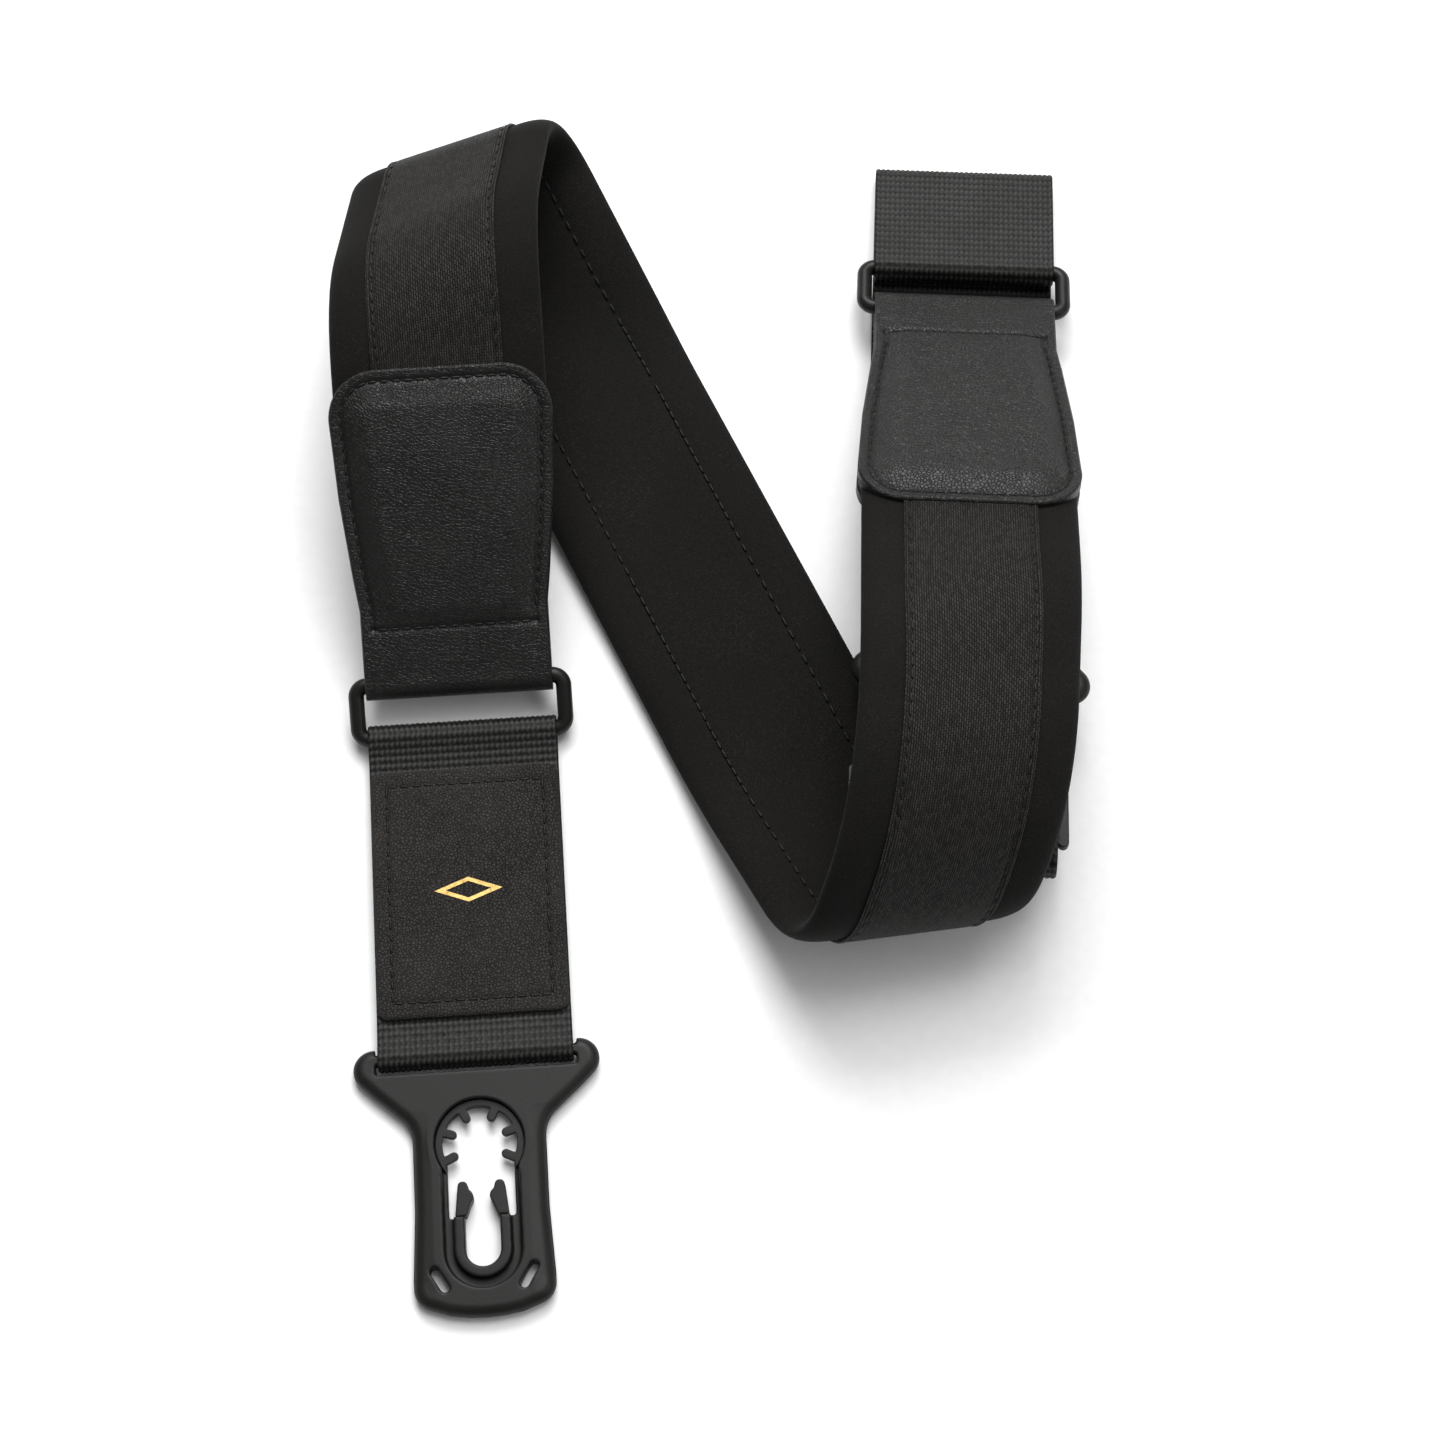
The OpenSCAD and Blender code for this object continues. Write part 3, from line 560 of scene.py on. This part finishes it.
def leather_end():
    x = np.concatenate([
        PAD_END + END_R * (1 - np.cos(np.linspace(0, math.pi / 2, 40))),
        np.arange(PAD_END + 13.4, -0.1, 0.42),
        FOLD_OUT * np.sin(np.linspace(0, 1, 14) * math.pi / 2 * 0.995),
    ])
    v = np.sin(np.linspace(-1, 1, 105) * math.pi / 2)
    half = end_half(x)
    y = half[:, None] * v[None, :]
    xx = np.broadcast_to(x[:, None], y.shape)
    top, bottom = end_top(xx, y), end_bottom(xx, y)
    # Cut edge: the cover's ply, a dark line, the filling and the back's ply
    share = np.array([0.08, 0.2, 0.30, 0.34, 0.5, 0.66, 0.70, 0.8, 0.92])
    inset = np.array([0.35, 0.45, 0.30, 0.9, 0.8, 0.9, 0.30, 0.45, 0.35])
    near = np.clip((FOLD_OUT - x) / 5, 0, 1)[:, None]

    def wall(side):
        zt = top[:, -1:] if side > 0 else top[:, :1]
        zb = bottom[:, -1:] if side > 0 else bottom[:, :1]
        f = share if side > 0 else share[::-1]
        zz = zt + (zb - zt) * f[None, :]
        ins = inset if side > 0 else inset[::-1]
        yy = side * (half[:, None] - 0.35 + (0.35 - ins[None, :]) * near * 0.9)
        return np.stack([np.broadcast_to(x[:, None], zz.shape), yy, zz], -1)

    face_y = y * (1 - 0.3 / END_HALF)
    over, under = np.stack([xx, face_y, top], -1), np.stack([xx, face_y, bottom], -1)[:, ::-1]
    ring = np.concatenate([over, wall(1), under, wall(-1)], axis=1)
    m = ring.shape[1]
    shift = len(share) // 2
    ring = np.roll(ring, shift, axis=1)
    faces = loft(ring, closed_ends=False)
    for row in (0, len(x) - 1):
        faces.append([row * m + q for q in range(m)])
    return ring.reshape(-1, 3), faces


def end_stitches(to_world):
    """Thread along the sewn outline and across the seam at the ring, on both faces."""
    st = Stitches(2.35, 0.8, 0.4)
    r, straight = END_R - END_SEAM_IN, END_HALF - END_R
    line = [(PAD_END + END_SEAM_IN, y) for y in np.arange(0, straight, 1.5)]
    for a in np.linspace(0, math.pi / 2, 12):
        line.append((PAD_END + END_R - r * math.cos(a), straight + r * math.sin(a)))
    for x in np.arange(PAD_END + 15, LIP + 4.6, 1.5):
        line.append((x, float(end_half(np.array(x))) - END_SEAM_IN))
    line = np.array(line)
    for sign in (-1, 1):
        path = line * [1, sign]
        length = np.concatenate([[0], np.cumsum(np.hypot(*np.diff(path, axis=0).T))])
        for q in np.arange(1.6, length[-1] - 1.2, 3.15):
            x, y = np.interp(q, length, path[:, 0]), np.interp(q, length, path[:, 1])
            x2, y2 = np.interp(q + 0.6, length, path[:, 0]), np.interp(q + 0.6, length, path[:, 1])
            for top in (True, False):
                f = end_top if top else end_bottom
                z, z2 = f(np.array(x), np.array(y)), f(np.array(x2), np.array(y2))
                add_local(st, to_world, (x, y, z), (x2, y2, z2), top)
    for y in np.arange(-19.2, 19.3, 3.2):
        for top in (True, False):
            f = end_top if top else end_bottom
            x = np.array(CROSS_SEAM)
            add_local(st, to_world, (x, y, f(x, np.array(y))), (x, y + 0.6, f(x, np.array(y + 0.6))), top)
    return st


def add_local(st, to_world, a, b, top):
    at = to_world(np.array([a], float))[0]
    fwd = to_world(np.array([b], float))[0]
    out = to_world(np.array([[a[0], a[1], a[2] + (1 if top else -1)]], float))[0]
    st.add(at, fwd - at, out - at)


def end_bar(way):
    """Centre of the ring's bar that a leather end holds, and the axes of that end of the band."""
    origin, axes = end_frame(way)
    length = FRONT_LEN if way < 0 else REAR_LEN
    return origin + axes @ np.array([length - FOLD_OUT, 0, 0]), axes


def end_world(way):
    bar, m = end_bar(way)
    flip = np.array([1, 1 if way < 0 else -1, 1])
    return lambda p: bar + (p * flip) @ m.T


for way, side in ((-1, "front"), (1, "rear")):
    world = end_world(way)
    pts, faces = leather_end()
    hide = mesh_object(side + "_leather_end", world(pts), faces, LEATHER)
    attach(hide, side + "_leg")
    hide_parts(*(f"{side}_leather_{p}" for p in ("cover", "back", "filler")))
    sewn = end_stitches(world).build(side + "_leather_stitches", THREAD)
    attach(sewn, side + "_leg")

# ---- Webbing ------------------------------------------------------------------------
WEB_W, WEB_T = 50.8, 1.5
LOCK_BAR_R, LOOP_GAP = 1.6, 0.2
ROW, COLUMNS, ROW_STEPS, COLUMN_STEPS = 2.0, 36, 4, 3


def lean_of(way):
    m = end_frame(way)[1]
    return -way * math.atan2(m[1, 1], m[0, 1])


def low_bar(way, z, lean):
    """Centre of a ring's lower bar, which lies at height z beyond the end of the band."""
    bar = end_bar(way)[0]
    pitch = math.asin((bar[2] - z) / RING_SPAN)
    flat = math.cos(pitch)
    return bar + RING_SPAN * np.array([flat * math.sin(lean), way * flat * math.cos(lean), -math.sin(pitch)])


def turned(angle, x, y):
    c, s = np.cos(angle), np.sin(angle)
    return c * x - s * y, s * x + c * y


def arc(cx, cz, r, a0, a1, n=16):
    a = np.radians(np.linspace(a0, a1, n))
    return [(cx + r * math.cos(t), cz + r * math.sin(t)) for t in a]


def even(path):
    """The path in even steps, a whole number of weave rows long: distance in rows, points, normals."""
    p = np.array(path, float)
    d = np.concatenate([[0], np.cumsum(np.hypot(*np.diff(p, axis=0).T))])
    rows = int(round(d[-1] / ROW))
    q = np.linspace(0, d[-1], rows * ROW_STEPS + 1)
    x = np.interp(q, d, p[:, 0])
    z = np.interp(q, d, p[:, 1])
    k = np.array([1, 2, 3, 2, 1]) / 9
    for _ in range(2):
        x[2:-2], z[2:-2] = np.convolve(x, k, "valid"), np.convolve(z, k, "valid")
    t = np.gradient(np.column_stack([x, z]), axis=0)
    t = t / np.linalg.norm(t, axis=1)[:, None]
    return q / d[-1] * rows, np.column_stack([x, z]), np.column_stack([-t[:, 1], t[:, 0]])


def weave(row, column):
    """Height of the weave, 0 to 1: ribs across the webbing, each a row of slanted bumps."""
    col = np.floor(column)
    u = (column - col - 0.5) * 2
    rib = np.floor(row)
    v = ((row + 0.08 * (col % 2) + 0.04 * np.sin(1.7 * col + 2.3 * rib)) % 1.0 - 0.5) * 2 + 0.22 * u
    bump = 0.45 + 0.55 * np.clip(1 - np.abs(u) ** 2.2, 0, 1) ** 0.5
    return bump * np.clip(1 - np.abs(v) ** 2.2, 0, 1) ** 0.6


def web_sheet(name, path, to_world, body, node_names):
    row, mid, nor = even(path)
    across = COLUMNS * COLUMN_STEPS + 1
    column = np.linspace(0, COLUMNS, across)
    column = np.concatenate([column, column[::-1]])
    w = (column / COLUMNS - 0.5) * (WEB_W - 0.2)
    side = np.concatenate([np.ones(across), -np.ones(across)])
    edge = np.clip((WEB_W / 2 - np.abs(w)) / 0.7, 0.0, 1)
    round_off = 0.55 + 0.45 * np.sqrt(np.clip(1 - (1 - edge) ** 2, 0, 1))
    lift = weave(row[:, None], np.minimum(column, COLUMNS - 0.001)[None, :])
    h = (WEB_T / 2 - 0.48 + 0.47 * lift) * round_off[None, :] * side[None, :]
    px = mid[:, 0][:, None] + nor[:, 0][:, None] * h
    pz = mid[:, 1][:, None] + nor[:, 1][:, None] * h
    rings = to_world(px, np.broadcast_to(w[None, :], px.shape), pz, row[:, None] / row[-1])
    ob = mesh_object(name, rings.reshape(-1, 3), loft(rings), WEB)
    # The weave height is kept on each point for the webbing material. That material turns it into painted
    # shade in the hollows and painted highlights on the bump tops.
    tone = ob.data.color_attributes.new("weave_height_painted_light", "FLOAT_COLOR", "POINT")
    rgba = np.repeat(lift.reshape(-1, 1), 4, axis=1).astype(np.float32)
    tone.data.foreach_set("color", rgba.ravel())
    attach(ob, body)
    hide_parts(*node_names)


RING_LOOP, LOCK_LOOP = RING_BAR_R + LOOP_GAP + WEB_T / 2, LOCK_BAR_R + LOOP_GAP + WEB_T / 2
TAB_LEN = 89.0
front_lean = lean_of(-1)
front_low = low_bar(-1, RING_BAR_R + LOOP_GAP + WEB_T + 0.1, front_lean)


def tab_world(x, w, z, _):
    dx, dy = turned(front_lean, w, -x)
    return np.stack([front_low[0] + dx, front_low[1] + dy, front_low[2] + z], -1)


LAYER = WEB_T / 2 + 0.05
tab_path = (
    [(42, -LAYER), (10, -LAYER), (5, -1.6)]
    + arc(0, 0, RING_LOOP, -70, -290, 26)
    + [(5, 1.6), (10, LAYER), (TAB_LEN - 10, LAYER), (TAB_LEN - 5, 1.4)]
    + arc(TAB_LEN, 0, LOCK_LOOP, 110, -110, 26)
    + [(TAB_LEN - 5, -1.4), (TAB_LEN - 10, -LAYER), (43, -LAYER)]
)
web_sheet("front_webbing_look", tab_path, tab_world, "front_tab", ["front_webbing_tab"])

rear_lean = lean_of(1)
REAR_LOW_Z, FAR_X, RAMP_X, SLIDER_X = 7.9, -34.0, 72.5, 164.0
RAMP = math.radians(8)
rear_low = low_bar(1, REAR_LOW_Z, rear_lean)
DOUBLE = 2 * WEB_T + 0.1
R_OUT = DOUBLE + 0.2
UPPER, NEAR_R, LIFT = 1.5 * WEB_T + 0.1, 5.0, 4.5
OVER = LIFT + 1.2 + 0.2 + WEB_T + 0.1 + WEB_T / 2
TAIL_LEAN, TAIL_LEN, TAIL_DROP = math.radians(-5.6), 49.0, 10.0


def ramp(x):
    return max(0.0, (x - RAMP_X) * math.tan(RAMP))


def by_slider(points):
    c, s = math.cos(RAMP), math.sin(RAMP)
    z0 = 0.1 + ramp(SLIDER_X)
    return [(SLIDER_X + c * x - s * z, z0 + s * x + c * z) for x, z in points]


tail_start_x, tail_start_z = by_slider([(15, UPPER + 2 * NEAR_R)])[0]
tail_at = rear_low[:2] - tail_start_x * np.array([math.sin(rear_lean), math.cos(rear_lean)])


def rear_world(x, w, z, lean):
    dx, dy = turned(lean, w, tail_start_x - x)
    return np.stack([tail_at[0] + dx, tail_at[1] + dy, z + 0 * dx], -1)


def run_world(x, w, z, _):
    return rear_world(x, w, z, -rear_lean)


fold_z = 0.1 + R_OUT
out_r, in_r = R_OUT - WEB_T / 2, R_OUT - WEB_T - 0.1 - WEB_T / 2
anchor = [(-14.6, 0.8), (-8.4, 0.9), (-6.0, 1.6), (-2.6, LIFT - 2.15)] + arc(0, LIFT, 2.15, -75, 180, 16)
run = by_slider(anchor[::-1]) + [
    (x, 0.85 + ramp(x)) for x in (140, 120, 100, 90, 80, 76, RAMP_X, 66, 40, FAR_X + R_OUT + 4)
]
run += arc(FAR_X + R_OUT, fold_z, out_r, -90, -270, 14)
run += [(-3.0, REAR_LOW_Z + RING_LOOP - 0.5)]
run += arc(0, REAR_LOW_Z, RING_LOOP, 95, -100, 20)
run += [(-4.0, REAR_LOW_Z - RING_LOOP + 0.3), (FAR_X + R_OUT + 8, fold_z + in_r + 0.15)]
run += arc(FAR_X + R_OUT, fold_z, in_r, 90, 270, 10)
run += [(x, 2.45 + ramp(x)) for x in (FAR_X + 12, 0, 40, 66, RAMP_X, 76, 90, 120, 148)]
web_sheet("rear_webbing_look", run, run_world, "rear_leg", ["rear_webbing_run", "rear_webbing_anchor"])

hump = [(2.8, OVER - 0.4), (5, 6.3), (7.1, 3.6), (8.8, UPPER + 0.15), (11, UPPER)]
rise = [(-x, z) for x, z in hump[::-1]]
under_fold = arc(15, UPPER + NEAR_R, NEAR_R, -80, 90, 16)
over = by_slider([(-14.6, UPPER)] + rise + [(0, OVER)] + hump + [(13.4, UPPER)] + under_fold)
tail_world_path = [
    (tail_start_x - x, tail_start_z + z)
    for x, z in [(4, -0.55), (12, -1.8), (24, -3.65), (36, -5.5), (46, -7.15)]
    + arc(TAIL_LEN, -TAIL_DROP, LOCK_LOOP, 95, -100, 20)
    + [(45.5, -12.1), (40.5, -9.0), (31, -6.4)]
]


def over_world(x, w, z, part):
    t = np.clip((part - 0.30) / 0.18, 0, 1)
    return rear_world(x, w, z, -rear_lean + (TAIL_LEAN + rear_lean) * t * t * (3 - 2 * t))


web_sheet("rear_tail_look", over + tail_world_path, over_world, "rear_leg", ["rear_webbing_tail"])

# ---- Leather patch with a plain foil lozenge ----------------------------------------
PATCH_W, PATCH_L, PATCH_T, PATCH_R, PATCH_START = 50.0, 68.0, 1.5, 3.0, 10.8
PATCH_Z = DOUBLE / 2 + 0.05
PATCH_SEAM_IN = 4.2


def patch_distance(x, y):
    dx = np.abs(x - PATCH_L / 2) - (PATCH_L / 2 - PATCH_R)
    dy = np.abs(y) - (PATCH_W / 2 - PATCH_R)
    outside = np.hypot(np.maximum(dx, 0), np.maximum(dy, 0))
    return PATCH_R - outside - np.minimum(np.maximum(dx, dy), 0)


def patch_top(x, y):
    d = patch_distance(x, y)
    z = PATCH_T - 0.55 * np.clip(1 - d / 1.1, 0, 1) ** 2
    z = z - 0.38 * np.exp(-(((d - PATCH_SEAM_IN) / 0.7) ** 2))
    return z - 0.05 * np.clip(1 - np.abs(d - 2.4) / 2, 0, 1) + 0.05 * np.sin(x / 6) * np.cos(y / 8)


def patch_mesh():
    x = np.concatenate([
        PATCH_R * (1 - np.cos(np.linspace(0.04, math.pi / 2, 14))),
        np.arange(PATCH_R + 0.45, PATCH_L - PATCH_R, 0.45),
        PATCH_L - PATCH_R * (1 - np.cos(np.linspace(math.pi / 2, 0.04, 14))),
    ])
    end = np.clip(np.maximum(PATCH_R - x, x - PATCH_L + PATCH_R), 0, PATCH_R)
    half = PATCH_W / 2 - PATCH_R + np.sqrt(PATCH_R**2 - end**2)
    v = np.sin(np.linspace(-1, 1, 95) * math.pi / 2)
    y = half[:, None] * v[None, :]
    xx = np.broadcast_to(x[:, None], y.shape)
    top = np.stack([xx, y, patch_top(xx, y)], -1)
    low = np.stack([xx, y, 0 * y + 0.02], -1)[:, ::-1]
    return np.concatenate([top, low], axis=1)


def patch_world(p):
    return tab_world(PATCH_START + p[..., 0], p[..., 1], PATCH_Z + p[..., 2], 0)


rings = patch_mesh()
patch = mesh_object("front_patch_look", patch_world(rings).reshape(-1, 3), loft(rings), PATCH_LEATHER)
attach(patch, "front_tab")
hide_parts("front_patch")
st = Stitches(2.45, 0.8, 0.38)
far_x, side_y = PATCH_L - PATCH_SEAM_IN, PATCH_W / 2 - PATCH_SEAM_IN
corners = [(PATCH_SEAM_IN, -side_y), (far_x, -side_y), (far_x, side_y), (PATCH_SEAM_IN, side_y)]
for i in range(4):
    a, b = np.array(corners[i]), np.array(corners[(i + 1) % 4])
    count = int(round(np.linalg.norm(b - a) / 3.25))
    for k in range(count):
        p = a + (b - a) * (k + 0.5) / count
        p2 = p + (b - a) / np.linalg.norm(b - a)
        z = float(patch_top(p[0], p[1])) + 0.02
        add_local(st, patch_world, (*p, z), (*p2, z), True)
sewn = st.build("front_patch_stitches", THREAD)
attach(sewn, "front_tab")

# ---- Locks: the CAD plate with its outer edge rolled -------------------------------
LOCK_T, LOCK_TOP, SPAN, LOCK_LEN = 5.2, 1.4, 64.0, 67.7
SEAT_Y, EDGE_ROLL = -23, 3.0


def spin(axis, angle):
    c, t = math.cos(angle), math.sin(angle)
    if axis == "x":
        return np.array([[1, 0, 0], [0, c, -t], [0, t, c]])
    return np.array([[c, -t, 0], [t, c, 0], [0, 0, 1]])


def lock_outline():
    tip = SPAN / 2
    half = [(0, 3.2), (23, 3.2)] + arc(tip - 5.4, -2.2, 5.4, 84, -42, 24)
    half += [(tip - 5, -9.4), (22, -13.8)]
    half += arc(26, -22, 8.8, 126, 180, 18) + [(17.2, -40), (18.1, -57.5)]
    half += arc(12.5, -59.6, 5.6, 5, -66, 18)
    half += [(9.4, 1 - LOCK_LEN), (4.7, 0.25 - LOCK_LEN), (0, -LOCK_LEN)]
    return np.array(half + [(-x, y) for x, y in half[::-1]])


def edge_distance(p, poly):
    best = np.full(len(p), 1e9)
    for a, b in zip(poly, np.roll(poly, -1, axis=0)):
        d = b - a
        if d @ d < 1e-9:
            continue
        t = np.clip(((p - a) @ d) / (d @ d), 0, 1)[:, None]
        best = np.minimum(best, np.hypot(*(p - a - t * d).T))
    return best


def soften(ob, voxel, rounds):
    """Two modifiers that mesh a piece evenly and smooth it, which takes off its sharp edges."""
    r = ob.modifiers.new("even", "REMESH")
    r.mode, r.voxel_size, r.use_smooth_shade = "VOXEL", voxel * MM, True
    s = ob.modifiers.new("soft", "SMOOTH")
    s.factor, s.iterations = 0.5, rounds


def even_mesh(ob, voxel, rounds):
    """A softened copy of a CAD node's mesh, and its points in millimetres."""
    twin = new_object("twin", ob.data.copy())
    soften(twin, voxel, rounds)
    bpy.context.view_layer.update()
    ready = twin.evaluated_get(bpy.context.evaluated_depsgraph_get())
    me = bpy.data.meshes.new_from_object(ready)
    bpy.data.objects.remove(twin)
    co = np.zeros(len(me.vertices) * 3, np.float32)
    me.vertices.foreach_get("co", co)
    return me, co.reshape(-1, 3).astype(float) / MM


def rolled_lock(side, origin, turn):
    node = side + "_lock_plate"
    me, co = even_mesh(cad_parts[node], 0.3, 8)
    local = (co - origin) @ turn
    d = edge_distance(local[:, :2], lock_outline())
    mid = LOCK_TOP - LOCK_T / 2
    t = np.clip(1 - d / EDGE_ROLL, 0, 1)
    slim = np.sqrt(np.clip(1 - t * t, 0.02, 1))
    dial = np.hypot(local[:, 0], local[:, 1] - SEAT_Y)
    waist = np.clip((-14 - local[:, 1]) / 12, 0, 1) * np.clip((local[:, 1] + 64) / 6, 0, 1)
    dish = 0.5 * waist * np.clip((np.abs(local[:, 0]) - 12.5) / 4, 0, 1)
    lip = 0.25 * np.exp(-(((dial - 12.6) / 0.7) ** 2)) * (local[:, 1] > -31)
    high = local[:, 2] > mid
    local[:, 2] = mid + (local[:, 2] - mid) * slim - (dish - lip) * high * (local[:, 2] > LOCK_TOP - 1)
    local[:, 2] = np.minimum(local[:, 2], LOCK_TOP)
    me.vertices.foreach_set("co", ((origin + local @ turn.T) * MM).astype(np.float32).ravel())
    shade_smooth(me)
    me.materials.clear()
    me.materials.append(LOCK_PLASTIC)
    me.update()
    ob = new_object(side + "_lock_look", me)
    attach(ob, side + "_lock")
    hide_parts(node)


front_turn = spin("z", front_lean)
rolled_lock("front", front_low + front_turn @ np.array([0, -TAB_LEN, 0]), front_turn)
tail_way = np.array([-math.sin(TAIL_LEAN), math.cos(TAIL_LEAN), 0])
rear_lock_at = np.array([*tail_at, tail_start_z]) + TAIL_LEN * tail_way - TAIL_DROP * UP
rear_turn = spin("z", TAIL_LEAN) @ spin("x", math.radians(-6.5)) @ spin("z", math.pi)
rolled_lock("rear", rear_lock_at, rear_turn)

# ---- CAD pieces that stay: locks, prongs and sliders with their edges softened, rings shaded smooth ---
for name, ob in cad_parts.items():
    if ob.hide_render:
        continue
    ob.data.materials.clear()
    if "lock" in name or "prong" in name:
        ob.data.materials.append(LOCK_PLASTIC)
        soften(ob, 0.2, 5)
    elif "ring" in name or "slider" in name:
        ob.data.materials.append(RING_PLASTIC)
        if "slider" in name:
            soften(ob, 0.22, 3)
        else:
            shade_smooth(ob.data)
    else:
        ob.data.materials.append(FOIL)

# ---- Table, light and camera --------------------------------------------------------
floor_me = bpy.data.meshes.new("table")
floor_me.from_pydata([(-4, -4, 0), (4, -4, 0), (4, 4, 0), (-4, 4, 0)], [], [(0, 1, 2, 3)])
floor = new_object("table", floor_me)
paper = Shader("white_table", 0.9, 0.1)
grain = paper.noise(paper.coords(), 300, 3)
paper.colour(paper.ramp(grain, [(0.3, (0.90, 0.90, 0.90)), (0.7, (0.93, 0.93, 0.93))]))
floor_me.materials.append(paper.mat)


def area_light(name, at, target, size, power, size_y=None):
    data = bpy.data.lights.new(name, "AREA")
    data.energy, data.size = power, size
    if size_y:
        data.shape, data.size_y = "RECTANGLE", size_y
    ob = new_object(name, data)
    ob.location = at
    ob.rotation_euler = (Vector(target) - Vector(at)).to_track_quat("-Z", "Y").to_euler()


area_light("key_back", (-0.1, 0.95, 1.05), (0, 0, 0), 0.8, 14, 0.5)
area_light("top", (0.25, 0.25, 1.5), (0, 0, 0), 0.9, 4.5)
area_light("fill_right", (1.1, -0.3, 0.9), (0, 0, 0), 0.6, 2.5)
sun = bpy.data.lights.new("even", "SUN")
sun.energy, sun.angle = 1.5, 0.7
new_object("even", sun).rotation_euler = (math.radians(-28), math.radians(8), 0)
world_data = bpy.data.worlds.new("studio")
world_data.use_nodes = True
tree = world_data.node_tree
tree.nodes["Background"].inputs[0].default_value = (1, 1, 1, 1)
seen = tree.nodes.new("ShaderNodeLightPath")
level = tree.nodes.new("ShaderNodeMapRange")
level.inputs["To Min"].default_value, level.inputs["To Max"].default_value = 0.24, 0.95
tree.links.new(seen.outputs["Is Camera Ray"], level.inputs["Value"])
tree.links.new(level.outputs[0], tree.nodes["Background"].inputs[1])
bpy.context.scene.world = world_data
bpy.context.scene.view_settings.view_transform = "Standard"

camera_data = bpy.data.cameras.new("camera")
camera_data.lens, camera_data.sensor_width = 78.14, 36
camera_data.clip_start, camera_data.clip_end = 0.01, 20
camera = new_object("camera", camera_data)
middle = Vector((0.0037, -0.0037, 0.0))
elevation, distance = math.radians(70), 0.85
camera.location = middle + distance * Vector((0.0, -math.cos(elevation), math.sin(elevation)))
camera.rotation_euler = (middle - camera.location).to_track_quat("-Z", "Y").to_euler()
bpy.context.scene.camera = camera
